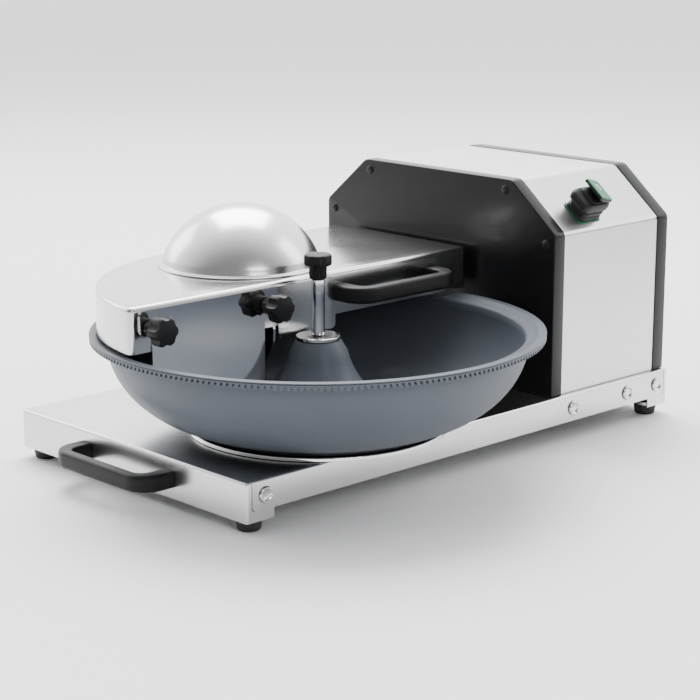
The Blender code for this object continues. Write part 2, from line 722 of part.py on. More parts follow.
for k in range(bowl_turns):
    turn = math.pi / 2 * (1 - k / bowl_turns)
    r = SHELL_CENTRE_RADIUS + outer_reach * math.sin(turn)
    z = SHELL_LEVEL - outer_depth * math.cos(turn)
    if r > SHELL_FOOT_OUTER:
        outside.append((r, z))
outside += [(SHELL_FOOT_OUTER, SHELL_BOTTOM), (SHELL_FOOT_INNER, SHELL_BOTTOM)]
under = []
back_round = TROUGH_ROUND + CONE_WALL
for z in (HUB_WEB_LEVEL, HUB_LEVEL):
    under.append((TROUGH_RADIUS - math.sqrt(back_round ** 2 - (TROUGH_CENTRE_LEVEL - z) ** 2), z))
hub_bore = POST_RADIUS + REST_GAP
under += [(hub_bore, HUB_LEVEL), (hub_bore, POST_TOP + REST_GAP), (stud_bore, POST_TOP + REST_GAP),
          (stud_bore, CONE_TOP)]
shell = turned(inside + rim + outside + under, BOWL_SEGMENTS)
piece("bowl", at(shell, (BOWL_X, BOWL_Y, 0)), bowl_grey, bowl_axis)


def toothed_ring():
    """Ring of downward teeth. Each sector is one side of a polygon, so its walls are flat faces."""
    bm = bmesh.new()

    def spot(radius, sector, share, level):
        ends = []
        for s in (sector, sector + 1):
            turn = math.tau * s / RING_SECTORS
            ends.append(Vector((math.cos(turn) * radius, math.sin(turn) * radius, 0)))
        flat = ends[0].lerp(ends[1], share)
        return bm.verts.new((flat.x, flat.y, level))

    walls = {}
    tops = {}
    for radius in (RING_INNER_RADIUS, RING_OUTER_RADIUS):
        tops[radius] = [spot(radius, s, 0, RING_TOP) for s in range(RING_SECTORS)]
        corners = [spot(radius, s, 0, TOOTH_ROOT) for s in range(RING_SECTORS)]
        walls[radius] = []
        for s in range(RING_SECTORS):
            line = [corners[s]]
            for t in range(TEETH_PER_SECTOR):
                for half, level in ((-ROOT_SHARE, TOOTH_ROOT), (-CREST_SHARE, TOOTH_CREST),
                                    (CREST_SHARE, TOOTH_CREST), (ROOT_SHARE, TOOTH_ROOT)):
                    line.append(spot(radius, s, (t + 1 / 2 + half / 2) / TEETH_PER_SECTOR, level))
            line.append(corners[(s + 1) % RING_SECTORS])
            walls[radius].append(line)
    for s in range(RING_SECTORS):
        after = (s + 1) % RING_SECTORS
        for radius in (RING_INNER_RADIUS, RING_OUTER_RADIUS):
            bm.faces.new([tops[radius][s], *walls[radius][s], tops[radius][after]])
        bm.faces.new([tops[RING_INNER_RADIUS][s], tops[RING_INNER_RADIUS][after],
                      tops[RING_OUTER_RADIUS][after], tops[RING_OUTER_RADIUS][s]])
        near, far = walls[RING_INNER_RADIUS][s], walls[RING_OUTER_RADIUS][s]
        for k in range(len(near) - 1):
            bm.faces.new([near[k], near[k + 1], far[k + 1], far[k]])
    return bm


piece("bowl_tooth_ring", at(toothed_ring(), (BOWL_X, BOWL_Y, 0)), bowl_grey, bowl_axis)

# Clamp disc on the cone, spindle rod screwed into the post, fluted knob on the rod's tip
clamp_low = CONE_TOP + REST_GAP
clamp_high = clamp_low + CLAMP_HEIGHT
clamp = tube(stud_bore, CLAMP_RADIUS, clamp_low, clamp_high, 20, CLAMP_EDGE)
piece("clamp_disc", at(clamp, (BOWL_X, BOWL_Y, 0)), bright_steel, bowl_axis)
spindle_low = clamp_high + REST_GAP
stud_low = POST_TOP - STUD_LENGTH
tip_top = SPINDLE_TOP + SPINDLE_TIP_LENGTH
spindle = [(0, stud_low), (STUD_RADIUS, stud_low), (STUD_RADIUS, spindle_low),
           (SPINDLE_RADIUS - SPINDLE_EDGE, spindle_low), (SPINDLE_RADIUS, spindle_low + SPINDLE_EDGE),
           (SPINDLE_RADIUS, SPINDLE_TOP - SPINDLE_EDGE), (SPINDLE_RADIUS - SPINDLE_EDGE, SPINDLE_TOP),
           (SPINDLE_TIP_RADIUS, SPINDLE_TOP), (SPINDLE_TIP_RADIUS, tip_top), (0, tip_top)]
piece("spindle_rod", at(turned(spindle, 16), (BOWL_X, BOWL_Y, 0)), mirror_steel, bowl_axis)

knob_low = SPINDLE_TOP + REST_GAP
knob_bore = SPINDLE_TIP_RADIUS + REST_GAP
knob_ceiling = KNOB_TOP - KNOB_CEILING
knob = turned([(knob_bore, knob_low), (KNOB_HUB_RADIUS - KNOB_HUB_ROUND, knob_low),
               (KNOB_HUB_RADIUS, knob_low + KNOB_HUB_ROUND), (KNOB_HUB_RADIUS, KNOB_HUB_TOP),
               (KNOB_RADIUS - KNOB_EDGE, KNOB_HUB_TOP), (KNOB_RADIUS, KNOB_HUB_TOP + KNOB_EDGE),
               (KNOB_RADIUS, KNOB_TOP - KNOB_EDGE), (KNOB_RADIUS - KNOB_EDGE, KNOB_TOP), (0, KNOB_TOP),
               (0, knob_ceiling), (knob_bore, knob_ceiling)], KNOB_FLUTES * 4)
for v in knob.verts:
    flat = v.co.xy.length
    if flat > KNOB_HUB_RADIUS + MERGE and v.co.z > KNOB_HUB_TOP - MERGE:
        wave = math.cos(KNOB_FLUTES * math.atan2(v.co.y, v.co.x))
        v.co.xy *= 1 - KNOB_FLUTE_SHARE * (1 - wave) / 2
piece("top_knob", at(knob, (BOWL_X, BOWL_Y, 0)), black_plastic, top_knob_axis)

# Housing: thick front and rear plates of one outline, with a folded wrap between them
def housing_outline(inset):
    """Outline across the housing, near foot round to far foot, drawn in by an inset."""
    near, far = HOUSING_NEAR + inset, HOUSING_FAR - inset
    slope = math.atan2(HOUSING_CHAMFER_RISE, HOUSING_CHAMFER_RUN)
    side = HOUSING_SIDE_HEIGHT - inset * math.tan(slope / 2)
    top = HOUSING_HEIGHT - inset
    low = REST_GAP
    shoulder = HOUSING_NEAR + HOUSING_CHAMFER_RUN + inset * math.tan(slope / 2)
    other = HOUSING_FAR - HOUSING_CHAMFER_RUN - inset * math.tan(slope / 2)
    return [(near, low), (near, side), (shoulder, top), (other, top), (far, side), (far, low)]


def plate(name, start, thickness):
    bm = prism(housing_outline(0), "X", start, start + thickness)
    bevelled = [e for e in bm.edges
                if abs(e.verts[0].co.x - e.verts[1].co.x) < MERGE and max(v.co.z for v in e.verts) > REST_GAP + MERGE]
    bmesh.ops.bevel(bm, geom=bevelled, offset=PLATE_EDGE, segments=2, profile=0.5, affect="EDGES",
                    clamp_overlap=True)
    return piece(name, bm, black_coat, stand)


front_plate = plate("housing_front_plate", FRONT_PLATE_X, FRONT_PLATE)
front_end = FRONT_PLATE_X + FRONT_PLATE


def port(item, y, z, radius, start, length, segments=24):
    drill = along_x(rod(radius, -OVERRUN, length + OVERRUN, segments), y, z, start)
    carve(item, drill, stand)


seal_bore = SEAL_RADIUS + REST_GAP
port(front_plate, KNIFE_Y, KNIFE_Z, seal_bore, FRONT_PLATE_X, FRONT_PLATE)
port(front_plate, BOWL_Y, PINION_Z, BUSH_RADIUS + REST_GAP, FRONT_PLATE_X, FRONT_PLATE)
port(front_plate, HINGE_Y, HINGE_Z, HINGE_ROD_RADIUS + REST_GAP, FRONT_PLATE_X, FRONT_PLATE, 16)

rear_plate = plate("housing_rear_plate", REAR_PLATE_X, REAR_PLATE)
port(rear_plate, GLAND_Y, GLAND_Z, GLAND_SHANK_RADIUS + REST_GAP, REAR_PLATE_X, REAR_PLATE, 16)
slot_low, slot_high = KNIFE_Y - VENT_LENGTH / 2, KNIFE_Y + VENT_LENGTH / 2
for k in range(VENT_COUNT):
    level = KNIFE_Z + (k - (VENT_COUNT - 1) / 2) * VENT_PITCH
    half = VENT_HEIGHT / 2
    ends = arc(slot_high - half, level, half, -math.pi / 2, math.pi / 2, 3)
    ends += arc(slot_low + half, level, half, math.pi / 2, math.pi * 3 / 2, 3)
    carve(rear_plate, prism(ends, "X", REAR_PLATE_X - OVERRUN, REAR_PLATE_X + REAR_PLATE + OVERRUN), stand)

wrap_start = front_end + REST_GAP
wrap_end = REAR_PLATE_X - REST_GAP
wrap_path = housing_outline(WRAP_INSET) + housing_outline(WRAP_INSET + WRAP_WALL)[::-1]
wrap = piece("housing_wrap", prism(wrap_path, "X", wrap_start, wrap_end), satin_steel, stand)

# Switch: its own frame runs along X, up the chamfer's slope, and out from it
slope_length = math.hypot(HOUSING_CHAMFER_RUN, HOUSING_CHAMFER_RISE)
slope_y, slope_z = HOUSING_CHAMFER_RUN / slope_length, HOUSING_CHAMFER_RISE / slope_length
near_side = housing_outline(WRAP_INSET)[1]
slope_frame = Matrix(((1, 0, 0, SWITCH_X),
                      (0, slope_y, -slope_z, near_side[0] + slope_y * SWITCH_UP),
                      (0, slope_z, slope_y, near_side[1] + slope_z * SWITCH_UP),
                      (0, 0, 0, 1)))


def block(length, width, low, high, shift=0, edge=0):
    bm = box((shift - length / 2, -width / 2, low), (shift + length / 2, width / 2, high))
    if edge:
        eased(bm, edge, lambda e: upright(e), 2)
    return bm


cut = block(SWITCH_PORT_LENGTH, SWITCH_PORT_WIDTH, -WRAP_WALL - OVERRUN, OVERRUN)
cut.transform(slope_frame)
carve(wrap, cut, stand)
shank = block(SWITCH_PORT_LENGTH - REST_GAP * 2, SWITCH_PORT_WIDTH - REST_GAP * 2, -SWITCH_SHANK_DROP,
              REST_GAP + SWITCH_BASE_HEIGHT / 2)
shank.transform(slope_frame)
boot = piece("switch_body", shank, black_plastic, stand)
steps = ((SWITCH_BASE_LENGTH, SWITCH_BASE_WIDTH, REST_GAP, SWITCH_BASE_HEIGHT, 0, SWITCH_CORNER / 2),
         (SWITCH_NECK_LENGTH, SWITCH_NECK_WIDTH, SWITCH_BASE_HEIGHT / 2, SWITCH_NECK_HEIGHT + SWITCH_BASE_HEIGHT / 2,
          0, SWITCH_CORNER / 2),
         (SWITCH_FLANGE_LENGTH, SWITCH_FLANGE_WIDTH, SWITCH_NECK_HEIGHT, SWITCH_FLANGE_HEIGHT, SWITCH_FLANGE_SHIFT,
          SWITCH_CORNER),
         (SWITCH_NECK_LENGTH, SWITCH_NECK_WIDTH, SWITCH_FLANGE_HEIGHT - SWITCH_BASE_HEIGHT / 2,
          SWITCH_FLANGE_HEIGHT + SWITCH_BASE_HEIGHT / 2, 0, SWITCH_CORNER / 2),
         (SWITCH_POST_HALF * 2, SWITCH_POST_WIDTH, SWITCH_FLANGE_HEIGHT,
          ROCKER_PIVOT_HEIGHT - ROCKER_DOWN - REST_GAP, 0, 0))
for length, width, low, high, shift, edge in steps:
    step = block(length, width, low, high, shift, edge)
    step.transform(slope_frame)
    carve(boot, step, stand, "UNION")

pivot = slope_frame @ Vector((0, 0, ROCKER_PIVOT_HEIGHT))
rocker_axis = empty("rocker_axis", pivot, stand)
end_rise = ROCKER_HALF * math.tan(ROCKER_TILT) - ROCKER_DOWN
paddle = [(0, -ROCKER_DOWN), (ROCKER_HALF, end_rise), (ROCKER_HALF, ROCKER_UP), (-ROCKER_HALF, ROCKER_UP),
          (-ROCKER_HALF, end_rise)]
rocker = prism(paddle, "Y", -ROCKER_WIDTH / 2, ROCKER_WIDTH / 2)
eased(rocker, ROCKER_EDGE, lambda e: min(v.co.z for v in e.verts) > ROCKER_UP - MERGE, 1)
rocker.transform(Matrix.Rotation(ROCKER_TILT, 4, "Y"))
rocker.transform(slope_frame @ Matrix.Translation((0, 0, ROCKER_PIVOT_HEIGHT)))
piece("switch_rocker", rocker, switch_green, rocker_axis)

# Motor: bells, finned body on its foot, bearings, rotor and fan, all on the knife shaft's line
shaft_bore = SHAFT_RADIUS + REST_GAP
seal = tube(shaft_bore, SEAL_RADIUS, SEAL_START, SEAL_START + SEAL_LENGTH, 20)
piece("shaft_seal", along_x(seal, KNIFE_Y, KNIFE_Z), rubber, stand)
bearing_bore = MOTOR_BEARING_RADIUS + REST_GAP
bell_end = BELL_START + BELL_LENGTH
body_start = bell_end + REST_GAP
body_end = body_start + STATOR_LENGTH
rear_start = body_end + REST_GAP
rear_end = rear_start + BELL_LENGTH
pocket = bell_end - MOTOR_BEARING_LENGTH - REST_GAP
bell = [(shaft_bore + RUN_GAP, BELL_START), (BELL_NOSE_RADIUS, BELL_START), (BELL_RADIUS - BELL_EDGE, BELL_START),
        (BELL_RADIUS, BELL_START + BELL_EDGE), (BELL_RADIUS, bell_end), (bearing_bore, bell_end),
        (bearing_bore, pocket), (shaft_bore + RUN_GAP, pocket)]
piece("motor_front_bell", along_x(turned(bell, MOTOR_SEGMENTS), KNIFE_Y, KNIFE_Z), cast_alloy, stand)
rear_bell = [(r, rear_start + (bell_end - x)) for r, x in bell][::-1]
piece("motor_rear_bell", along_x(turned(rear_bell, MOTOR_SEGMENTS), KNIFE_Y, KNIFE_Z), cast_alloy, stand)
front_race = tube(shaft_bore, MOTOR_BEARING_RADIUS, pocket + REST_GAP, bell_end, 18)
piece("motor_front_bearing", along_x(front_race, KNIFE_Y, KNIFE_Z), bright_steel, stand)
rear_race = tube(shaft_bore, MOTOR_BEARING_RADIUS, rear_start, rear_start + MOTOR_BEARING_LENGTH, 18)
piece("motor_rear_bearing", along_x(rear_race, KNIFE_Y, KNIFE_Z), bright_steel, stand)

fins = []
for k in range(FIN_COUNT * 2):
    share = 1 - FIN_SHARE * (k % 2)
    for part in (0, 1):
        turn = math.tau * (k + part * FIN_LAND_SHARE) / (FIN_COUNT * 2)
        fins.append((KNIFE_Y + STATOR_RADIUS * share * math.cos(turn),
                     KNIFE_Z + STATOR_RADIUS * share * math.sin(turn)))
body = piece("motor_body", prism(fins, "X", body_start, body_end), cast_alloy, stand)
foot_start, foot_end = body_start + MOTOR_FOOT_INSET, body_end - MOTOR_FOOT_INSET
carve(body, box((foot_start, KNIFE_Y - MOTOR_POST_HALF, MOTOR_FOOT_HEIGHT / 2),
                (foot_end, KNIFE_Y + MOTOR_POST_HALF, KNIFE_Z - STATOR_BORE)), stand, "UNION")
carve(body, box((foot_start, KNIFE_Y - MOTOR_FOOT_HALF, REST_GAP),
                (foot_end, KNIFE_Y + MOTOR_FOOT_HALF, MOTOR_FOOT_HEIGHT)), stand, "UNION")
port(body, KNIFE_Y, KNIFE_Z, STATOR_BORE, body_start, STATOR_LENGTH)
rotor = tube(shaft_bore, ROTOR_RADIUS, body_start + ROTOR_INSET, body_end - ROTOR_INSET, MOTOR_SEGMENTS)
piece("motor_rotor", along_x(rotor, KNIFE_Y, KNIFE_Z), laminations, knife_axis)

collar_end = COLLAR_START + COLLAR_LENGTH
shaft = [(0, SHAFT_START), (SHAFT_RADIUS - SHAFT_EDGE, SHAFT_START), (SHAFT_RADIUS, SHAFT_START + SHAFT_EDGE),
         (SHAFT_RADIUS, COLLAR_START), (COLLAR_RADIUS, COLLAR_START), (COLLAR_RADIUS, collar_end),
         (SHAFT_RADIUS, collar_end), (SHAFT_RADIUS, SHAFT_END - SHAFT_EDGE),
         (SHAFT_RADIUS - SHAFT_EDGE, SHAFT_END), (0, SHAFT_END)]
piece("knife_shaft", along_x(turned(shaft, 18), KNIFE_Y, KNIFE_Z), bright_steel, knife_axis)

fan_start = rear_end + RUN_GAP * 4
fan = piece("cooling_fan", along_x(tube(shaft_bore, FAN_HUB_RADIUS, fan_start, fan_start + FAN_LENGTH, 16),
                                   KNIFE_Y, KNIFE_Z), black_plastic, knife_axis)
disc = tube(FAN_HUB_RADIUS - FAN_DISC, FAN_RADIUS, fan_start, fan_start + FAN_DISC, 24)
carve(fan, along_x(disc, KNIFE_Y, KNIFE_Z), knife_axis, "UNION")
for k in range(FAN_BLADES):
    blade = box((fan_start + FAN_DISC / 2, FAN_HUB_RADIUS - FAN_DISC, -FAN_BLADE_WALL / 2),
                (fan_start + FAN_LENGTH, FAN_RADIUS - FAN_DISC, FAN_BLADE_WALL / 2))
    turn = Matrix.Rotation(math.tau * k / FAN_BLADES, 4, "X")
    blade.transform(Matrix.Translation((0, KNIFE_Y, KNIFE_Z)) @ turn)
    carve(fan, blade, knife_axis, "UNION")

# Bowl drive: a small geared motor behind the front plate turns a pinion under the rim
pinion_end = PINION_START + PINION_LENGTH
drive_bore = PINION_SHAFT_RADIUS + REST_GAP
pinion_points = []
tooth = math.tau / PINION_TEETH
for k in range(PINION_TEETH):
    for half, radius in ((-PINION_FOOT_SHARE, PINION_TIP_RADIUS - PINION_DEPTH), (-PINION_TIP_SHARE, PINION_TIP_RADIUS),
                         (PINION_TIP_SHARE, PINION_TIP_RADIUS),
                         (PINION_FOOT_SHARE, PINION_TIP_RADIUS - PINION_DEPTH)):
        turn = math.pi / 2 + tooth * (k + half / 2)
        pinion_points.append((BOWL_Y + radius * math.cos(turn), PINION_Z + radius * math.sin(turn)))
pinion = piece("drive_pinion", prism(pinion_points, "X", PINION_START, pinion_end), brass, pinion_axis)
carve(pinion, along_x(rod(drive_bore, -OVERRUN, PINION_LENGTH + OVERRUN, 16), BOWL_Y, PINION_Z, PINION_START),
      pinion_axis)
box_start = front_end + REST_GAP
box_end = box_start + GEARBOX_LENGTH
arbor_end = box_start + DRIVE_BORE_DEPTH - REST_GAP
arbor = along_x(rod(PINION_SHAFT_RADIUS, PINION_START, arbor_end, 16), BOWL_Y, PINION_Z)
piece("pinion_shaft", arbor, bright_steel, pinion_axis)
bush = tube(drive_bore, BUSH_RADIUS, front_end - BUSH_LENGTH, front_end, 16)
piece("pinion_bush", along_x(bush, BOWL_Y, PINION_Z), brass, stand)
gear_case = turned([(0, box_start + DRIVE_BORE_DEPTH), (drive_bore, box_start + DRIVE_BORE_DEPTH),
                    (drive_bore, box_start), (GEARBOX_RADIUS, box_start), (GEARBOX_RADIUS, box_end - GEARMOTOR_EDGE),
                    (GEARBOX_RADIUS - GEARMOTOR_EDGE, box_end), (GEARMOTOR_RADIUS, box_end),
                    (GEARMOTOR_RADIUS, box_end + GEARMOTOR_LENGTH - GEARMOTOR_EDGE),
                    (GEARMOTOR_RADIUS - GEARMOTOR_EDGE, box_end + GEARMOTOR_LENGTH),
                    (0, box_end + GEARMOTOR_LENGTH)], MOTOR_SEGMENTS)
piece("bowl_gearmotor", along_x(gear_case, BOWL_Y, PINION_Z), cast_alloy, stand)

# Run capacitor on the base, cable gland through the rear plate
can = rod(CAPACITOR_RADIUS, REST_GAP, CAPACITOR_HEIGHT, 20, CAPACITOR_EDGE)
piece("run_capacitor", at(can, (CAPACITOR_X, CAPACITOR_Y, 0)), cast_alloy, stand)
gland_start = REAR_PLATE_X + REAR_PLATE + REST_GAP
gland_nut_end = gland_start + GLAND_NUT
gland_end = gland_nut_end + GLAND_DOME
gland = turned([(GLAND_BORE, REAR_PLATE_X), (GLAND_SHANK_RADIUS, REAR_PLATE_X), (GLAND_SHANK_RADIUS, gland_start),
                (GLAND_NUT_RADIUS, gland_start), (GLAND_NUT_RADIUS, gland_nut_end),
                (GLAND_DOME_RADIUS, gland_nut_end), (GLAND_DOME_RADIUS, (gland_nut_end + gland_end) / 2),
                (GLAND_BORE + GLAND_LIP, gland_end), (GLAND_BORE, gland_end)], GLAND_SIDES)
piece("cable_gland", along_x(gland, GLAND_Y, GLAND_Z), black_plastic, stand)

# Sickle knives: hub, a belly that sweeps round to a point, and a shorter hollow back


def sickle_outline():
    """Belly and hollow back of one knife about the shaft, as turn and reach, counter-clockwise from its hub."""
    belly, back = [], []
    for k in range(KNIFE_STEPS + 1):
        share = k / KNIFE_STEPS
        rise = math.sin(share * math.pi / 2)
        belly.append((share * KNIFE_SWEEP, KNIFE_HUB_RADIUS + (KNIFE_TIP_RADIUS - KNIFE_HUB_RADIUS) * rise))
        if 0 < k < KNIFE_STEPS:
            hollow = KNIFE_HUB_RADIUS + (KNIFE_TIP_RADIUS - KNIFE_HUB_RADIUS) * rise ** 2
            lag = KNIFE_BACK_LAG * math.sin(math.pi * (1 - share)) * (1 - KNIFE_ROOT_SHARE * share)
            back.append((share * KNIFE_SWEEP + lag, hollow * (1 - KNIFE_HOLLOW_SHARE * math.sin(math.pi * share))))
    rest = (math.tau - KNIFE_BACK_LAG) / KNIFE_STEPS
    hub = [(KNIFE_BACK_LAG + rest * (k + 1 / 2), KNIFE_HUB_RADIUS) for k in range(KNIFE_STEPS)]
    return belly + back[::-1] + hub


for number, start in ((1, KNIFE_START), (2, COLLAR_START - REST_GAP - KNIFE_WALL)):
    swing = math.pi * (number - 1)
    flat = [(KNIFE_Y + r * math.cos(a + swing), KNIFE_Z + r * math.sin(a + swing)) for a, r in sickle_outline()]
    knife = piece(f"knife_{number}", prism(flat, "X", start, start + KNIFE_WALL), mirror_steel, knife_axis)
    drill = rod(shaft_bore, -OVERRUN / 2, KNIFE_WALL + OVERRUN / 2, 20)
    carve(knife, along_x(drill, KNIFE_Y, KNIFE_Z, start), knife_axis)
spacer_start = KNIFE_START + KNIFE_WALL + REST_GAP
spacer = tube(shaft_bore, SPACER_RADIUS, spacer_start, spacer_start + KNIFE_SPACER, 20)
piece("knife_spacer", along_x(spacer, KNIFE_Y, KNIFE_Z), bright_steel, knife_axis)
nut_end = KNIFE_START - REST_GAP
nut = rod(NUT_RADIUS, nut_end - NUT_LENGTH, nut_end, NUT_SIDES)
nut = piece("knife_nut", along_x(nut, KNIFE_Y, KNIFE_Z), bright_steel, knife_axis)
drill = rod(shaft_bore, -OVERRUN, NUT_LENGTH + OVERRUN, 20)
carve(nut, along_x(drill, KNIFE_Y, KNIFE_Z, nut_end - NUT_LENGTH), knife_axis)

# Lid: D-shaped sheet with a skirt, a tab behind the spindle, a port under the dome


def lid_outline(inset):
    """Plan of the lid, drawn in by an inset; the recess for the tab is in its front edge."""
    front, back, right = LID_FRONT + inset, LID_BACK - inset, LID_RIGHT - inset
    radius = LID_RADIUS - inset
    low = math.asin((front - BOWL_Y) / radius)
    low = math.pi - low
    high = math.pi / 2
    turns = [low + (high - low) * k / LID_ARC_STEPS for k in range(LID_ARC_STEPS + 1)]
    points = [(BOWL_X + radius * math.cos(t), min(BOWL_Y + radius * math.sin(t), back)) for t in turns]
    corner = LID_CORNER - inset
    points += arc(right - corner, back - corner, corner, math.pi / 2, 0, 3)
    points += arc(right - corner, front + corner, corner, 0, -math.pi / 2, 3)
    for k in range(RECESS_STEPS, -1, -1):
        share = k / RECESS_STEPS
        x = RECESS_START + (RECESS_END - RECESS_START) * share
        points.append((x, front + RECESS_DEPTH * math.sin(math.pi * share)))
    return points


cover = prism(lid_outline(0), "Z", LID_TAB_BOTTOM, LID_TOP)
eased(cover, LID_EDGE, lambda e: min(v.co.z for v in e.verts) > LID_TOP - MERGE, 2)
lid = piece("lid_cover", cover, satin_steel, lid_axis)
cavity = prism(lid_outline(SHEET), "Z", LID_TAB_BOTTOM - OVERRUN, LID_TOP - SHEET)
eased(cavity, LID_EDGE - SHEET, lambda e: min(v.co.z for v in e.verts) > LID_TOP - SHEET - MERGE, 2)
carve(lid, cavity, lid_axis)
lid_left = BOWL_X - LID_RADIUS - OVERRUN
trim_low = LID_TAB_BOTTOM - OVERRUN
tab_back = LID_FRONT + RECESS_DEPTH + SHEET + OVERRUN
carve(lid, box((lid_left, tab_back, trim_low), (LID_RIGHT + OVERRUN, LID_BACK + OVERRUN, LID_BOTTOM)), lid_axis)
front_cut = LID_FRONT - OVERRUN
left_trim = [(lid_left, trim_low), (LID_TAB_START + LID_TAB_CORNER, trim_low)]
left_trim += arc(LID_TAB_START + LID_TAB_CORNER, LID_TAB_BOTTOM + LID_TAB_CORNER, LID_TAB_CORNER,
                 -math.pi / 2, -math.pi, 3)
left_trim += [(LID_TAB_START, LID_BOTTOM), (lid_left, LID_BOTTOM)]
carve(lid, prism(left_trim, "Y", front_cut, tab_back + MERGE), lid_axis)
right_trim = [(LID_TAB_END - LID_TAB_CORNER, trim_low), (LID_RIGHT + OVERRUN, trim_low),
              (LID_RIGHT + OVERRUN, LID_BOTTOM), (LID_TAB_END, LID_BOTTOM)]
right_trim += arc(LID_TAB_END - LID_TAB_CORNER, LID_TAB_BOTTOM + LID_TAB_CORNER, LID_TAB_CORNER, 0,
                  -math.pi / 2, 3)
carve(lid, prism(right_trim, "Y", front_cut, tab_back + MERGE), lid_axis)
carve(lid, at(rod(DOME_PORT_RADIUS, LID_TOP - LID_EDGE, LID_TOP + OVERRUN, DOME_SEGMENTS), (BOWL_X, DOME_Y, 0)),
      lid_axis)
notch = SHAFT_RADIUS + LID_NOTCH_GAP
notch_outline = [(KNIFE_Y - notch, trim_low), (KNIFE_Y + notch, trim_low)]
notch_outline += arc(KNIFE_Y, KNIFE_Z + LID_NOTCH_GAP / 2, notch, 0, math.pi, LID_NOTCH_STEPS)
carve(lid, prism(notch_outline, "X", LID_RIGHT - SHEET - OVERRUN, LID_RIGHT + OVERRUN), lid_axis)
for x in STAR_PLACES:
    hole = along_front(rod(STAR_STUD_RADIUS + REST_GAP, -SHEET - OVERRUN, OVERRUN, 12), x, STAR_LEVEL, LID_FRONT)
    carve(lid, hole, lid_axis)

# Pressed dome over the knives
dome_low = LID_TOP + REST_GAP
dome_round = (DOME_RADIUS ** 2 + DOME_HEIGHT ** 2) / (2 * DOME_HEIGHT)
dome_centre = dome_low + DOME_HEIGHT - dome_round
reach_angle = math.asin(DOME_RADIUS / dome_round)
outer_dome, inner_dome = [], []
for k in range(DOME_STEPS + 1):
    turn = reach_angle * (1 - k / DOME_STEPS)
    outer_dome.append((dome_round * math.sin(turn), dome_centre + dome_round * math.cos(turn)))
    inner_round = dome_round - SHEET
    inner_dome.append((inner_round * math.sin(turn), dome_centre + inner_round * math.cos(turn)))
outer_dome = [p for p in outer_dome if p[1] > dome_low + SHEET * 2]
inner_dome = [p for p in inner_dome if p[1] > dome_low + SHEET]
inner_foot = math.sqrt((dome_round - SHEET) ** 2 - (dome_low - dome_centre) ** 2)
outer_foot = math.sqrt(dome_round ** 2 - (dome_low + SHEET * 2 - dome_centre) ** 2)
fillet = (outer_foot + (DOME_FLANGE_RADIUS - outer_foot) * DOME_FILLET_SHARE, dome_low + SHEET)
profile = [(inner_foot, dome_low), (DOME_FLANGE_RADIUS, dome_low), (DOME_FLANGE_RADIUS, dome_low + SHEET), fillet,
           (outer_foot, dome_low + SHEET * 2)]
profile += outer_dome + inner_dome[::-1]
piece("lid_dome", at(turned(profile, DOME_SEGMENTS), (BOWL_X, DOME_Y, 0)), mirror_steel, lid_axis)

# Lid handle on the front skirt
lid_grip = handle(0, -HANDLE_HEIGHT / 2)
lid_grip.transform(Matrix.Translation((LID_HANDLE_START + HANDLE_LENGTH, LID_FRONT - REST_GAP, LID_HANDLE_LEVEL))
                   @ Matrix.Rotation(math.pi / 2, 4, "Z"))
piece("lid_handle", lid_grip, black_plastic, lid_axis)

# Hinge rod held by the front plate, two barrels on the lid's rear skirt
rod_piece = rod(HINGE_ROD_RADIUS, HINGE_ROD_START, front_end, 20, HINGE_ROD_EDGE)
piece("hinge_rod", along_x(rod_piece, HINGE_Y, HINGE_Z), bright_steel, stand)
barrel_bore = HINGE_ROD_RADIUS + REST_GAP
barrel_radius = HINGE_Y - LID_BACK - REST_GAP
for name, start in zip(("free", "motor"), BARREL_PLACES):
    barrel = tube(barrel_bore, barrel_radius, start, start + BARREL_LENGTH, 24)
    piece(f"hinge_barrel_{name}", along_x(barrel, HINGE_Y, HINGE_Z), bright_steel, lid_axis)

# Deflector plate: ears above, its foot follows the trough
plate_front = LID_FRONT - REST_GAP - DEFLECTOR_WALL
foot_line = []
for k in range(DEFLECTOR_STEPS + 1):
    x = DEFLECTOR_END + (DEFLECTOR_START - DEFLECTOR_END) * k / DEFLECTOR_STEPS
    r = math.hypot(x - BOWL_X, plate_front - BOWL_Y)
    foot_line.append((x, trough_level(r, DEFLECTOR_CLEARANCE)))
ear = [(DEFLECTOR_START, EAR_BOTTOM)]
ear += arc(EAR_START + EAR_CORNER, EAR_BOTTOM + EAR_CORNER, EAR_CORNER, -math.pi / 2, -math.pi, 3)
ear += arc(EAR_START + EAR_CORNER, EAR_TOP - EAR_CORNER, EAR_CORNER, math.pi, math.pi / 2, 3)
ear += [(EAR_END, EAR_TOP)]
ear += arc(EAR_END - EAR_CORNER, EAR_BOTTOM + EAR_CORNER, EAR_CORNER, 0, -math.pi / 2, 3)
ear += [(DEFLECTOR_END, EAR_BOTTOM)]
deflector = prism(ear + foot_line, "Y", plate_front, plate_front + DEFLECTOR_WALL)
deflector = piece("deflector_plate", deflector, mirror_steel, lid_axis)
for x in STAR_PLACES:
    hole = along_front(rod(STAR_STUD_RADIUS + REST_GAP, -DEFLECTOR_WALL - OVERRUN, OVERRUN, 12), x, STAR_LEVEL,
                       plate_front)
    carve(deflector, hole, lid_axis)

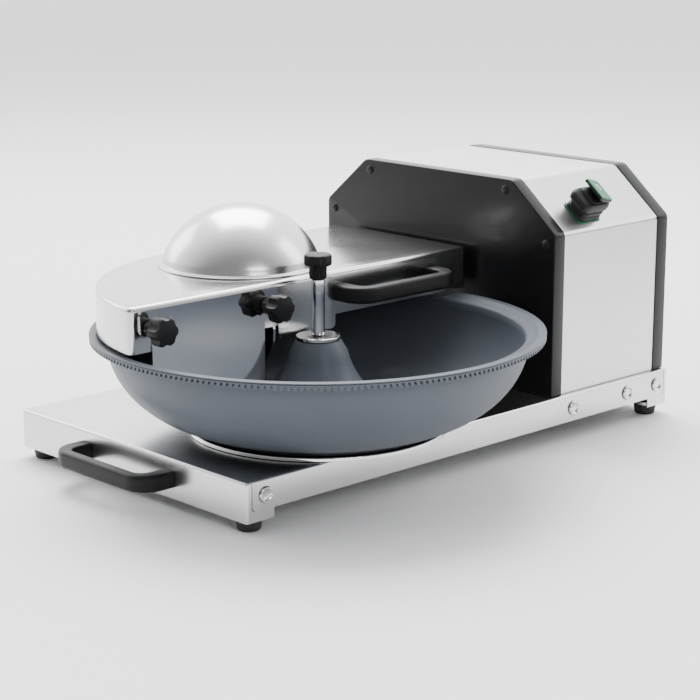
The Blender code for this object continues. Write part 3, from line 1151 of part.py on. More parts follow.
# Star knobs with their own studs, through the plate and the lid's skirt
for name, x in zip(("free", "inner"), STAR_PLACES):
    axis = empty(f"star_knob_{name}_axis", (x, plate_front, STAR_LEVEL), lid_axis)
    stud_low = plate_front - STAR_STUD_END
    hub_end = REST_GAP + STAR_HUB
    head_end = hub_end + STAR_HEAD
    sides = STAR_LOBES * 4
    star = turned([(0, stud_low), (STAR_STUD_RADIUS, stud_low), (STAR_STUD_RADIUS, REST_GAP),
                   (STAR_HUB_RADIUS, REST_GAP), (STAR_HUB_RADIUS, hub_end), (STAR_RADIUS - STAR_EDGE, hub_end),
                   (STAR_RADIUS, hub_end + STAR_EDGE), (STAR_RADIUS, head_end - STAR_EDGE),
                   (STAR_RADIUS - STAR_EDGE, head_end), (0, head_end)], sides)
    for v in star.verts:
        flat = v.co.xy.length
        if flat > STAR_HUB_RADIUS + MERGE:
            wave = math.cos(STAR_LOBES * math.atan2(v.co.y, v.co.x))
            v.co.xy *= 1 - STAR_LOBE_SHARE * (1 - wave) / 2 - STAR_LOBE_SHARE * (wave < 0) / 2
    piece(f"star_knob_{name}", along_front(star, x, STAR_LEVEL, plate_front), black_plastic, axis)
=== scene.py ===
import bpy
import json
import math
from mathutils import Matrix, Vector


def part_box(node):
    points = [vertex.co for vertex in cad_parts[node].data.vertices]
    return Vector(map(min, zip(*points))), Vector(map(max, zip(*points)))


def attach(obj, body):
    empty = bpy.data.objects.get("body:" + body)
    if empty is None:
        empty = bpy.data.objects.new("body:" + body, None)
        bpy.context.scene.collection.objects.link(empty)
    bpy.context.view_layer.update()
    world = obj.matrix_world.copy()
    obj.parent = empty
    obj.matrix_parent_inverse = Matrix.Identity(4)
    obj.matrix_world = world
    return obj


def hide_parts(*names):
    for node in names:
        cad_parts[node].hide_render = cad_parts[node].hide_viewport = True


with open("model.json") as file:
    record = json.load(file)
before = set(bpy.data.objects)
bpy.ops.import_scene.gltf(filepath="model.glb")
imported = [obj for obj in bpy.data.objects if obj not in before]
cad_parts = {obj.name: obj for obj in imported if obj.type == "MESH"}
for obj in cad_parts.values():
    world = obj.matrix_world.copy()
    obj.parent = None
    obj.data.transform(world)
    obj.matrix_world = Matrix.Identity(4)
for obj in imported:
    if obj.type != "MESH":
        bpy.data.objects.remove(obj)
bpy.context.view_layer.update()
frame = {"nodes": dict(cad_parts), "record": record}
scene = bpy.context.scene
print("stage: frame loaded")

# Where the base's own frame (X along it, Y to the back, Z from its top sheet) lies in the world
baseOrigin = Vector((-0.29865, -0.11695, 0.052))
hair, slack = 1e-5, 1e-4  # how near two places count as one, finely and coarsely, in metres
speck = 0.00002  # radius that closes a turned outline at its axis


def deselectAll():
    if bpy.context.mode != "OBJECT":
        bpy.ops.object.mode_set(mode="OBJECT")
    bpy.ops.object.select_all(action="DESELECT")


def pickOut(piece):
    # the one selected and active piece
    deselectAll()
    piece.select_set(True)
    bpy.context.view_layer.objects.active = piece


def applyPlace():
    bpy.ops.object.transform_apply(location=True, rotation=True, scale=True)


def selectAll():
    bpy.ops.mesh.select_all(action="SELECT")


# Camera at the photograph's angle
cameraView = {"place": (-1.1128, -1.3018, 0.5393), "turn": -43.71, "rise": 13.58, "lens": 100.16}
bpy.ops.object.camera_add()
camera = bpy.context.object
camera.name = "photo_camera"
turn, rise = math.radians(cameraView["turn"]), math.radians(cameraView["rise"])
backWay = Vector((math.sin(turn) * math.cos(rise), -math.cos(turn) * math.cos(rise), math.sin(rise)))
rightWay = Vector((math.cos(turn), math.sin(turn), 0))
upWay = backWay.cross(rightWay)
facing = Matrix((rightWay, upWay, backWay)).transposed()
camera.matrix_world = Matrix.Translation(baseOrigin + Vector(cameraView["place"])) @ facing.to_4x4()
camera.data.lens = cameraView["lens"]
camera.data.sensor_width = 36
camera.data.sensor_fit = "HORIZONTAL"
camera.data.clip_start = 0.05
camera.data.clip_end = 50
scene.camera = camera
print("stage: camera")

# Pale room: one wide flat floor plane that also serves as the backdrop, big soft lamps
roomLook = {"floor": (0.92, 0.92, 0.92), "world": (0.97, 0.98, 1.0), "bright": (0.66, 0.69, 0.30),
            "fall": (-0.50, 0.95, 0.35, 3.1)}
bpy.ops.mesh.primitive_plane_add(size=14, location=(0, 0, 0))
floor = bpy.context.object
floor.name = "floor_sweep"
floorPaint = bpy.data.materials.new("pale_floor")
floorPaint.use_nodes = True
floorPaint.node_tree.nodes["Principled BSDF"].inputs["Base Color"].default_value = (*roomLook["floor"], 1)
floorPaint.node_tree.nodes["Principled BSDF"].inputs["Roughness"].default_value = 0.6
floor.data.materials.append(floorPaint)
world = scene.world or bpy.data.worlds.new("room")
scene.world = world
world.use_nodes = True
skyNodes, skyLinks = world.node_tree.nodes, world.node_tree.links
sky = next(node for node in skyNodes if node.type == "BACKGROUND")
sky.inputs["Color"].default_value = (*roomLook["world"], 1)
# bright overhead and behind the machine, dark behind the photographer
around = skyNodes.new("ShaderNodeTexCoord")
toBack = skyNodes.new("ShaderNodeVectorMath")
toBack.operation = "DOT_PRODUCT"
toBack.inputs[1].default_value = roomLook["bright"]
fall = skyNodes.new("ShaderNodeMapRange")
fall.interpolation_type = "SMOOTHSTEP"
for label, value in zip(("From Min", "From Max", "To Min", "To Max"), roomLook["fall"]):
    fall.inputs[label].default_value = value
skyLinks.new(around.outputs["Generated"], toBack.inputs[0])
skyLinks.new(toBack.outputs["Value"], fall.inputs["Value"])
skyLinks.new(fall.outputs["Result"], sky.inputs["Strength"])


def softLamp(name, place, aim, size, power):
    bpy.ops.object.light_add(type="AREA", location=place)
    lamp = bpy.context.object
    lamp.name = name
    lamp.data.shape = "RECTANGLE"
    lamp.data.size, lamp.data.size_y = size
    lamp.data.energy = power
    lamp.rotation_euler = (Vector(aim) - Vector(place)).to_track_quat("-Z", "Y").to_euler()


softLamp("overhead_lamp", (0.8, 1.1, 2.4), (0, 0, 0.1), (1.9, 1.9), 130)
softLamp("left_lamp", (-0.5, 2.7, 1.3), (0, 0, 0.15), (1.4, 1.4), 22)
softLamp("right_lamp", (2.3, -1.4, 2.0), (0, 0, 0.15), (1.2, 1.8), 20)
softLamp("front_lamp", (-0.9, -2.7, 1.5), (0, 0, 0.1), (1.2, 1.0), 16)
print("stage: room and lamps")

# Surface effects shared by several finishes, each a node group that puts out masks and values


def newGroup(name, inputs, outputs):
    group = bpy.data.node_groups.new(name, "ShaderNodeTree")
    for label, start in inputs:
        socket = group.interface.new_socket(name=label, in_out="INPUT", socket_type="NodeSocketFloat")
        socket.default_value = start
    for label in outputs:
        group.interface.new_socket(name=label, in_out="OUTPUT", socket_type="NodeSocketFloat")
    enter = group.nodes.new("NodeGroupInput")
    leave = group.nodes.new("NodeGroupOutput")
    return group, enter, leave


def addNode(tree, kind, values=None, **settings):
    node = tree.nodes.new(kind)
    for key, value in settings.items():
        setattr(node, key, value)
    for key, value in (values or {}).items():
        node.inputs[key].default_value = value
    return node


def addNoise(group, place, scale, values):
    noise = addNode(group, "ShaderNodeTexNoise", values)
    group.links.new(place, noise.inputs["Vector"])
    group.links.new(scale, noise.inputs["Scale"])
    return noise.outputs["Fac"]


def brushGroup():
    # fine straight polishing lines along one axis, with slow smudges over them
    group, enter, leave = newGroup(
        "polish_lines", [("StretchX", 1), ("StretchY", 1), ("StretchZ", 1), ("Fineness", 400), ("Smudge", 6)],
        ["Lines", "Smudges"])
    links = group.links
    place = addNode(group, "ShaderNodeTexCoord").outputs["Object"]
    stretch = addNode(group, "ShaderNodeCombineXYZ")
    for axis in "XYZ":
        links.new(enter.outputs["Stretch" + axis], stretch.inputs[axis])
    scaled = addNode(group, "ShaderNodeVectorMath", operation="MULTIPLY")
    links.new(place, scaled.inputs[0])
    links.new(stretch.outputs[0], scaled.inputs[1])
    lines = addNoise(group, scaled.outputs[0], enter.outputs["Fineness"], {"Detail": 4.0, "Roughness": 0.65})
    smudges = addNoise(group, place, enter.outputs["Smudge"],
                       {"Detail": 3.0, "Roughness": 0.5, "Distortion": 0.6})
    links.new(lines, leave.inputs["Lines"])
    links.new(smudges, leave.inputs["Smudges"])
    return group


def speckleGroup():
    # small grains with slow clouds, for castings, coats and moulded plastic
    group, enter, leave = newGroup("cast_grain", [("Fineness", 900), ("Cloud", 12)], ["Grain", "Clouds"])
    place = addNode(group, "ShaderNodeTexCoord").outputs["Object"]
    grain = addNoise(group, place, enter.outputs["Fineness"], {"Detail": 5.0, "Roughness": 0.6})
    clouds = addNoise(group, place, enter.outputs["Cloud"], {"Detail": 3.0, "Roughness": 0.5})
    group.links.new(grain, leave.inputs["Grain"])
    group.links.new(clouds, leave.inputs["Clouds"])
    return group


def wearAndShadeGroup():
    # one mask for edges, broken up by noise, and one for narrow places that little light reaches, where shade
    # is painted into the colour
    group, enter, leave = newGroup(
        "edge_wear_and_painted_shade", [("Radius", 0.002), ("Break", 120), ("Reach", 0.006), ("Open", 0.75)],
        ["Wear", "Crevice"])
    links = group.links
    bevel = addNode(group, "ShaderNodeBevel", samples=4)
    shape = addNode(group, "ShaderNodeNewGeometry")
    links.new(enter.outputs["Radius"], bevel.inputs["Radius"])
    dot = addNode(group, "ShaderNodeVectorMath", operation="DOT_PRODUCT")
    links.new(bevel.outputs["Normal"], dot.inputs[0])
    links.new(shape.outputs["Normal"], dot.inputs[1])
    place = addNode(group, "ShaderNodeTexCoord").outputs["Object"]
    noise = addNoise(group, place, enter.outputs["Break"], {"Detail": 3.0})
    edge = addNode(group, "ShaderNodeMapRange", {"From Min": 0.995, "From Max": 0.90})
    links.new(dot.outputs["Value"], edge.inputs["Value"])
    product = addNode(group, "ShaderNodeMath", operation="MULTIPLY")
    links.new(edge.outputs["Result"], product.inputs[0])
    links.new(noise, product.inputs[1])
    links.new(product.outputs[0], leave.inputs["Wear"])
    # ambient occlusion finds the narrow places that get painted shade
    shade = addNode(group, "ShaderNodeAmbientOcclusion", samples=4)
    links.new(enter.outputs["Reach"], shade.inputs["Distance"])
    deep = addNode(group, "ShaderNodeMapRange", {"From Min": 0.25, "To Min": 1.0, "To Max": 0.0})
    links.new(enter.outputs["Open"], deep.inputs["From Max"])
    links.new(shade.outputs["AO"], deep.inputs["Value"])
    links.new(deep.outputs["Result"], leave.inputs["Crevice"])
    return group


polishLines, castGrain, wearAndShade = brushGroup(), speckleGroup(), wearAndShadeGroup()


def useGroup(tree, group, values):
    node = tree.nodes.new("ShaderNodeGroup")
    node.node_tree = group
    for key, value in values.items():
        node.inputs[key].default_value = value
    return node


def startFinish(name):
    finish = bpy.data.materials.new(name)
    finish.use_nodes = True
    return finish, finish.node_tree, finish.node_tree.nodes["Principled BSDF"]


def varyRoughness(tree, shader, look, mask):
    rough = addNode(tree, "ShaderNodeMapRange", {"To Min": look["rough"][0], "To Max": look["rough"][1]})
    tree.links.new(mask, rough.inputs["Value"])
    tree.links.new(rough.outputs["Result"], shader.inputs["Roughness"])


def blendColour(tree, mask, under, over):
    # a colour or a socket under, a colour over it where the mask is high
    blend = addNode(tree, "ShaderNodeMix", data_type="RGBA")
    if isinstance(under, tuple):
        blend.inputs[6].default_value = (*under, 1)
    else:
        tree.links.new(under, blend.inputs[6])
    blend.inputs[7].default_value = (*over, 1)
    tree.links.new(mask, blend.inputs[0])
    return blend.outputs[2]


def roughen(tree, shader, height, strength, distance):
    bump = addNode(tree, "ShaderNodeBump", {"Strength": strength, "Distance": distance})
    tree.links.new(height, bump.inputs["Height"])
    tree.links.new(bump.outputs["Normal"], shader.inputs["Normal"])


# the darkening factor in each look turns the dark tone into painted shade for narrow places
steelLook = {"edge": 0.0012, "reach": 0.003, "paintedShade": 0.25, "relief": 0.0002}
coatLook = {"edge": 0.0012, "reach": 0.006, "open": 0.75, "break": 90, "paintedShade": 0.18, "relief": 0.0003,
            "coatRough": 0.08, "gloss": 0.5}


def steelFinish(name, **look):
    finish, tree, shader = startFinish(name)
    shader.inputs["Metallic"].default_value = 1.0
    alongX, alongY, alongZ = look["stretch"]
    lines = useGroup(tree, polishLines, {"StretchX": alongX, "StretchY": alongY, "StretchZ": alongZ,
                                         "Fineness": look["fineness"], "Smudge": look["smudge"]})
    mixed = addNode(tree, "ShaderNodeMix", {"Factor": look["share"]}, data_type="FLOAT")
    tree.links.new(lines.outputs["Lines"], mixed.inputs[2])
    tree.links.new(lines.outputs["Smudges"], mixed.inputs[3])
    varyRoughness(tree, shader, look, mixed.outputs[0])
    wearAndShadeNode = useGroup(tree, wearAndShade, {"Radius": steelLook["edge"], "Reach": steelLook["reach"]})
    tint = blendColour(tree, lines.outputs["Smudges"], look["dark"], look["light"])
    # painted shade: the colour goes to a darkened dark tone where the occlusion mask finds narrow places
    paintedShade = tuple(part * steelLook["paintedShade"] for part in look["dark"])
    tree.links.new(blendColour(tree, wearAndShadeNode.outputs["Crevice"], tint, paintedShade), shader.inputs["Base Color"])
    roughen(tree, shader, lines.outputs["Lines"], look["bump"], steelLook["relief"])
    return finish


def coatFinish(name, **look):
    finish, tree, shader = startFinish(name)
    shader.inputs["Metallic"].default_value = look.get("metal", 0)
    shader.inputs["Coat Weight"].default_value = look.get("coat", 0)
    shader.inputs["Coat Roughness"].default_value = coatLook["coatRough"]
    shader.inputs["Specular IOR Level"].default_value = look.get("gloss", coatLook["gloss"])
    grain = useGroup(tree, castGrain, {"Fineness": look["fineness"], "Cloud": look["cloud"]})
    wearAndShadeNode = useGroup(tree, wearAndShade, {"Radius": coatLook["edge"], "Break": coatLook["break"],
                                     "Reach": look.get("reach", coatLook["reach"]),
                                     "Open": look.get("open", coatLook["open"])})
    varyRoughness(tree, shader, look, grain.outputs["Clouds"])
    tint = blendColour(tree, grain.outputs["Clouds"], look["dark"], look["light"])
    worn = blendColour(tree, wearAndShadeNode.outputs["Wear"], tint, look.get("wearColour", look["light"]))
    # painted shade: after the edge wear, the colour goes to a darkened dark tone where the occlusion mask
    # finds narrow places
    paintedShade = tuple(part * coatLook["paintedShade"] for part in look["dark"])
    tree.links.new(blendColour(tree, wearAndShadeNode.outputs["Crevice"], worn, paintedShade), shader.inputs["Base Color"])
    roughen(tree, shader, grain.outputs["Grain"], look["bump"], coatLook["relief"])
    return finish


satinSteel = steelFinish("satin_sheet", stretch=(0.03, 1, 1), fineness=900, smudge=7, rough=(0.15, 0.24),
                         share=0.6, dark=(0.56, 0.56, 0.55), light=(0.70, 0.70, 0.69), bump=0.008)
panSteel = steelFinish("pan_sheet", stretch=(0.03, 1, 1), fineness=900, smudge=6, rough=(0.20, 0.28),
                       share=0.45, dark=(0.58, 0.58, 0.58), light=(0.74, 0.74, 0.74), bump=0.01)
wrapSteel = steelFinish("wrap_sheet", stretch=(1, 1, 0.03), fineness=900, smudge=5, rough=(0.30, 0.42),
                        share=0.5, dark=(0.60, 0.60, 0.60), light=(0.80, 0.80, 0.79), bump=0.012)
mirrorSteel = steelFinish("mirror_sheet", stretch=(0.1, 1, 1), fineness=300, smudge=9, rough=(0.03, 0.09),
                          share=0.7, dark=(0.66, 0.66, 0.66), light=(0.78, 0.78, 0.78), bump=0.01)
domeSteel = steelFinish("dome_sheet", stretch=(1, 1, 1), fineness=260, smudge=8, rough=(0.20, 0.27),
                        share=0.6, dark=(0.62, 0.62, 0.62), light=(0.74, 0.74, 0.74), bump=0.015)
turnedSteel = steelFinish("turned_steel", stretch=(1, 1, 1), fineness=500, smudge=20, rough=(0.12, 0.24),
                          share=0.5, dark=(0.55, 0.55, 0.54), light=(0.70, 0.70, 0.69), bump=0.03)
# the bowl's wide occlusion reach and open setting paint shade under the rim and in the hollow behind the
# teeth
bowlCoat = coatFinish("bowl_coat", coat=0.03, fineness=1400, cloud=9, rough=(0.40, 0.52), bump=0.10,
                      reach=0.018, open=0.95, gloss=0.26, dark=(0.078, 0.088, 0.106),
                      light=(0.097, 0.108, 0.129), wearColour=(0.125, 0.138, 0.162))
blackCoat = coatFinish("black_coat_satin", coat=0.10, fineness=700, cloud=6, rough=(0.28, 0.38), bump=0.03,
                       gloss=0.22, dark=(0.004, 0.004, 0.0045), light=(0.007, 0.007, 0.0075),
                       wearColour=(0.03, 0.03, 0.032))
blackPlastic = coatFinish("black_moulding", fineness=1800, cloud=30, rough=(0.36, 0.50), bump=0.10,
                          gloss=0.20, dark=(0.006, 0.006, 0.0065), light=(0.011, 0.011, 0.0115),
                          wearColour=(0.035, 0.035, 0.037))
rubberBoot = coatFinish("switch_boot_rubber", fineness=1500, cloud=60, rough=(0.40, 0.55), bump=0.12,
                        gloss=0.25, dark=(0.006, 0.006, 0.0065), light=(0.012, 0.012, 0.0125))
markWhite = coatFinish("mark_white", fineness=900, cloud=40, rough=(0.4, 0.5), bump=0.02,
                       dark=(0.75, 0.80, 0.76), light=(0.85, 0.88, 0.85))
rubberBlack = coatFinish("foot_rubber", fineness=1200, cloud=40, rough=(0.6, 0.8), bump=0.25,
                         dark=(0.014, 0.014, 0.014), light=(0.03, 0.03, 0.03))
greenPlastic = coatFinish("switch_green_face", coat=0.1, fineness=600, cloud=60, rough=(0.45, 0.55),
                          bump=0.04, gloss=0.35, dark=(0.003, 0.10, 0.028), light=(0.008, 0.17, 0.05))
castMetal = coatFinish("cast_alloy_raw", metal=0.9, fineness=900, cloud=25, rough=(0.38, 0.55), bump=0.35,
                       dark=(0.42, 0.43, 0.44), light=(0.56, 0.57, 0.58))
laminated = coatFinish("rotor_stack", metal=0.9, fineness=1500, cloud=50, rough=(0.4, 0.6), bump=0.3,
                       dark=(0.18, 0.19, 0.20), light=(0.28, 0.29, 0.31))
machinedBrass = coatFinish("machined_brass", metal=1.0, fineness=900, cloud=40, rough=(0.22, 0.34), bump=0.1,
                           dark=(0.60, 0.42, 0.17), light=(0.74, 0.55, 0.25))
print("stage: finishes")

# Every carried-over node gets the finish of its record slot
slotFinish = {"satin_steel": satinSteel, "mirror_steel": mirrorSteel, "bright_steel": turnedSteel,
              "bowl_grey": bowlCoat, "black_coat": blackCoat, "black_plastic": blackPlastic,
              "rubber": rubberBlack, "switch_green": greenPlastic, "cast_alloy": castMetal,
              "laminations": laminated, "brass": machinedBrass}
nodeObjects = frame["nodes"]
for entry in frame["record"]["subparts"]:
    node = nodeObjects[entry["node"]]
    finish = wrapSteel if entry["node"] == "housing_wrap" else slotFinish[entry["material_slot"]]
    if node.data.materials:
        for place in range(len(node.data.materials)):
            node.data.materials[place] = finish
    else:
        node.data.materials.append(finish)


# Ways of making, used by the pieces below


def selectWhere(test, kind="VERT"):
    # picks verts, edges or faces of the mesh being edited by their middle point
    bpy.ops.mesh.select_mode(type=kind)
    bpy.ops.mesh.select_all(action="DESELECT")
    bpy.ops.object.mode_set(mode="OBJECT")
    mesh = bpy.context.object.data
    found = 0
    if kind == "VERT":
        for vert in mesh.vertices:
            vert.select = bool(test(vert.co))
            found += vert.select
    elif kind == "EDGE":
        for edge in mesh.edges:
            a, b = (mesh.vertices[k].co for k in edge.vertices)
            edge.select = bool(test(a, b))
            found += edge.select
    else:
        for face in mesh.polygons:
            face.select = bool(test(face.center, face.normal))
            found += face.select
    bpy.ops.object.mode_set(mode="EDIT")
    return found


def startEdit(piece):
    pickOut(piece)
    bpy.ops.object.mode_set(mode="EDIT")
    bpy.ops.mesh.select_mode(type="VERT")


def endEdit():
    bpy.ops.object.mode_set(mode="OBJECT")


def drawOut(way):
    bpy.ops.mesh.extrude_region_move(TRANSFORM_OT_translate={"value": way})


def faceOutward(weld=0):
    # all normals outward, places nearer than the weld joined first
    selectAll()
    if weld:
        bpy.ops.mesh.remove_doubles(threshold=weld)
    bpy.ops.mesh.normals_make_consistent(inside=False)


def inBase(point):
    return point - baseOrigin


def near(a, b, reach=hair):
    return abs(a - b) < reach


def settle(piece, place, spin=0, axis="Z"):
    # spins a piece about the world's origin and sets it down at a place of the base's frame
    pickOut(piece)
    piece.matrix_world = Matrix.Translation(baseOrigin + Vector(place)) @ Matrix.Rotation(spin, 4, axis)
    applyPlace()


def easeEdges(piece, width, segments=3, angle=30):
    change = piece.modifiers.new("ease", "BEVEL")
    change.width, change.segments, change.limit_method = width, segments, "ANGLE"
    change.angle_limit = math.radians(angle)
    applyAll(piece)


def turnOnWheel(name, outline, steps, place=None, alongX=False, shut=True):
    # a ring drawn out and resized step by step up a (radius, height) outline, like a pot on a wheel
    deselectAll()
    first = outline[0]
    bpy.ops.mesh.primitive_circle_add(vertices=steps, radius=max(first[0], speck), location=(0, 0, first[1]))
    piece = bpy.context.object
    piece.name = name
    applyPlace()
    startEdit(piece)
    selectAll()
    before = first
    for spot in outline[1:] + ([first] if shut else []):
        drawOut((0, 0, spot[1] - before[1]))
        ratio = max(spot[0], speck) / max(before[0], speck)
        if abs(ratio - 1) > 1e-9:
            bpy.ops.transform.resize(value=(ratio, ratio, 1), center_override=(0, 0, spot[1]))
        before = spot
    faceOutward(0.00005)
    endEdit()
    if place is not None:
        settle(piece, place, math.pi / 2 if alongX else 0, "Y")
    return piece


def roundTurn(across, up, radius, start, end, steps):
    # points of an arc about (across, up) in a wheel outline, angles in degrees
    points = []
    for k in range(steps + 1):
        a = math.radians(start + (end - start) * k / steps)
        points.append((across + radius * math.cos(a), up + radius * math.sin(a)))
    return points


def smoothShade(piece, angle=35):
    pickOut(piece)
    bpy.ops.object.shade_smooth_by_angle(angle=math.radians(angle))


def giveFinish(piece, finish, slot, body, *nodes):
    piece.data.materials.clear()
    piece.data.materials.append(finish)
    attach(piece, body)
    if nodes:
        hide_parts(*nodes)


def dress(piece, angle, *look):
    # smooth below the angle, then finish, body and the nodes it stands for
    smoothShade(piece, angle)
    giveFinish(piece, *look)


def applyAll(piece):
    pickOut(piece)
    for change in list(piece.modifiers):
        bpy.ops.object.modifier_apply(modifier=change.name)


def addCube(name, middle, size):
    # a block about a world place
    deselectAll()
    bpy.ops.mesh.primitive_cube_add(size=1, location=middle)
    piece = bpy.context.object
    piece.name = name
    piece.scale = size
    applyPlace()
    return piece


def addBlock(name, low, high):
    # a block between two corners of the base's own frame
    middle = Vector([(a + b) / 2 for a, b in zip(low, high)])
    return addCube(name, baseOrigin + middle, [b - a for a, b in zip(low, high)])


def joinAll(pieces):
    # all become part of the first
    pickOut(pieces[0])
    for piece in pieces:
        piece.select_set(True)
    bpy.ops.object.join()


def addDrum(radius, depth, middle, steps, alongX=False):
    # a round cutting tool about a world place, upright or lying along X
    deselectAll()
    bpy.ops.mesh.primitive_cylinder_add(vertices=steps, radius=radius, depth=depth, location=middle,
                                        rotation=(0, math.pi / 2 if alongX else 0, 0))
    return bpy.context.object


def cutAway(piece, tool):
    change = piece.modifiers.new("cut", "BOOLEAN")
    change.object = tool
    change.operation = "DIFFERENCE"
    change.solver = "EXACT"
    applyAll(piece)
    bpy.data.objects.remove(tool, do_unlink=True)


def cutPlane(spot, way, **keep):
    # cuts the mesh being edited with a plane through a place of the base's frame
    selectAll()
    bpy.ops.mesh.bisect(plane_co=baseOrigin + Vector(spot), plane_no=way, **keep)


def bevelWhere(piece, test, width, segments=3):
    startEdit(piece)
    if selectWhere(test, "EDGE"):
        bpy.ops.mesh.bevel(offset=width, segments=segments, affect="EDGES")
    endEdit()


# Bowl: trough, cone and rim turned as one

bowlShape = {"x": 0.183, "y": 0.100, "rim": 0.229, "rimInner": 0.220, "rimTop": 0.1023, "ringTop": 0.1011,
             "lip": 0.208, "shellLevel": 0.0955, "troughRadius": 0.117, "troughLevel": 0.100, "round": 0.090,
             "join": 0.107, "shellCentre": 0.097, "wall": 0.004, "foot": 0.0048, "coneRadius": 0.025,
             "coneTop": 0.090, "coneEdge": 0.0026, "rimEdge": 0.0011, "steps": 180,
             "studBore": 0.0053, "postBore": 0.0103, "postTop": 0.086, "footFrom": 0.130, "clear": 0.002,
             "behindTeeth": [(0.2217, 0.1011), (0.2217, 0.1002), (0.2180, 0.0984), (0.2138, 0.0967),
                             (0.2126, 0.0950)],
             "lipRise": [(0.0012, 0.0016), (0.004, 0.0030)],
             "rimRise": [(-0.002, -0.0022), (-0.0004, -0.0006), (0.0008, 0)],
             "footEdge": [(0.129, 0.0054), (0.128, 0.0048), (0.101, 0.0048), (0.100, 0.0058)],
             "underCone": [(0.083, 0.012), (0.0440, 0.040)]}
bowlAxis = (bowlShape["x"], bowlShape["y"], 0)


def bowlOutline():
    b = bowlShape
    crown = b["coneRadius"] - b["coneEdge"] * 1.4
    points = [(b["studBore"], b["coneTop"]), (crown, b["coneTop"])]
    points += roundTurn(crown, b["coneTop"] - b["coneEdge"], b["coneEdge"], 80, 20, 3)
    for k in range(1, 17):  # down the cone and round to the trough's bottom
        level = b["coneTop"] - b["coneEdge"] * 1.6
        bottom = b["troughLevel"] - b["round"]
        z = level - (level - bottom) * math.sin(math.pi / 2 * k / 16)
        r = b["troughRadius"] - math.sqrt(max(0, b["round"] ** 2 - (b["troughLevel"] - z) ** 2))
        if r < b["join"] - b["clear"]:
            points.append((r, z))
    reach = b["lip"] - b["shellCentre"]
    joinDrop = math.sqrt(b["round"] ** 2 - (b["join"] - b["troughRadius"]) ** 2)
    joinShare = (b["join"] - b["shellCentre"]) / reach
    depth = (b["shellLevel"] - b["troughLevel"] + joinDrop) / math.sqrt(1 - joinShare ** 2)
    for k in range(1, 21):  # up the outer wall
        a = math.pi / 2 * k / 20
        r = b["shellCentre"] + reach * math.sin(a)
        if r > b["join"] + b["clear"]:
            points.append((r, b["shellLevel"] - depth * math.cos(a)))
    points += [(b["lip"] + out, b["shellLevel"] + up) for out, up in b["lipRise"]]
    points += [(b["rimInner"] + out, b["rimTop"] + up) for out, up in b["rimRise"]]
    points += roundTurn(b["rim"] - b["rimEdge"], b["rimTop"] - b["rimEdge"], b["rimEdge"], 90, 0, 4)
    points += [(b["rim"], b["ringTop"] + 0.0001)] + b["behindTeeth"]
    outerReach, outerDepth = reach + b["wall"], b["shellLevel"] - b["foot"]
    for k in range(19, -1, -1):
        a = math.pi / 2 * k / 20
        r = b["shellCentre"] + outerReach * math.sin(a)
        if r > b["footFrom"]:
            points.append((r, b["shellLevel"] - outerDepth * math.cos(a)))
    points += b["footEdge"] + b["underCone"]
    points += [(b["postBore"], b["underCone"][-1][1]), (b["postBore"], b["postTop"])]
    points.append((b["studBore"], b["postTop"]))
    return points


bowl = turnOnWheel("bowl_turned", bowlOutline(), bowlShape["steps"], bowlAxis)
dress(bowl, 40, bowlCoat, "bowl_grey", "bowl", "bowl")
print("stage: bowl")

# Toothed ring: a wedge one pitch wide with one tooth, copied round and welded
ringShape = {"teeth": 240, "inner": 0.222, "outer": 0.2288, "top": 0.1008, "root": 0.0993, "crest": 0.0955,
             "crestShare": 0.15, "rootShare": 0.36, "weld": 0.00003, "ease": 0.00025}


def toothRing():
    r = ringShape
    pitch = math.tau / r["teeth"]
    ring = addCube("tooth_ring_cut", (0, 0, 0), (1, 1, 1))
    # the wedge runs from root level to the ring's top, and its tooth is drawn down from its underside
    for vert in ring.data.vertices:
        a = pitch / 2 * (1 if vert.co.y > 0 else -1)
        radius = r["outer"] if vert.co.x > 0 else r["inner"]
        level = r["top"] if vert.co.z > 0 else r["root"]
        vert.co = (radius * math.cos(a), radius * math.sin(a), level)
    startEdit(ring)
    for share in (-r["rootShare"], r["rootShare"]):
        a = pitch * share
        selectAll()
        bpy.ops.mesh.bisect(plane_co=(0, 0, 0), plane_no=(-math.sin(a), math.cos(a), 0))
    inset = math.tan(pitch * r["rootShare"])
    selectWhere(lambda c, n: n.z < -0.9 and abs(c.y) < c.x * inset * 0.9, "FACE")
    drawOut((0, 0, r["crest"] - r["root"]))
    squeeze = r["crestShare"] / r["rootShare"]
    bpy.ops.transform.resize(value=(1, squeeze, 1), center_override=(0, 0, r["crest"]))

    def sideWall(middle, normal):
        turned = abs(math.atan2(middle.y, middle.x))
        return abs(normal.y) > 0.5 and abs(turned - pitch / 2) < pitch * 0.004

    selectWhere(sideWall, "FACE")  # these go, so that neighbours weld into one ring
    bpy.ops.mesh.delete(type="FACE")
    endEdit()
    wedges = [ring]
    for k in range(1, r["teeth"]):
        copy = ring.copy()
        copy.data = ring.data.copy()
        scene.collection.objects.link(copy)
        copy.data.transform(Matrix.Rotation(pitch * k, 4, "Z"))
        wedges.append(copy)
    joinAll(wedges)
    startEdit(ring)
    faceOutward(r["weld"])
    endEdit()
    settle(ring, bowlAxis)
    easeEdges(ring, r["ease"], 1)
    return ring


ring = toothRing()
dress(ring, 30, bowlCoat, "bowl_grey", "bowl", "bowl_tooth_ring")
print("stage: toothed ring")

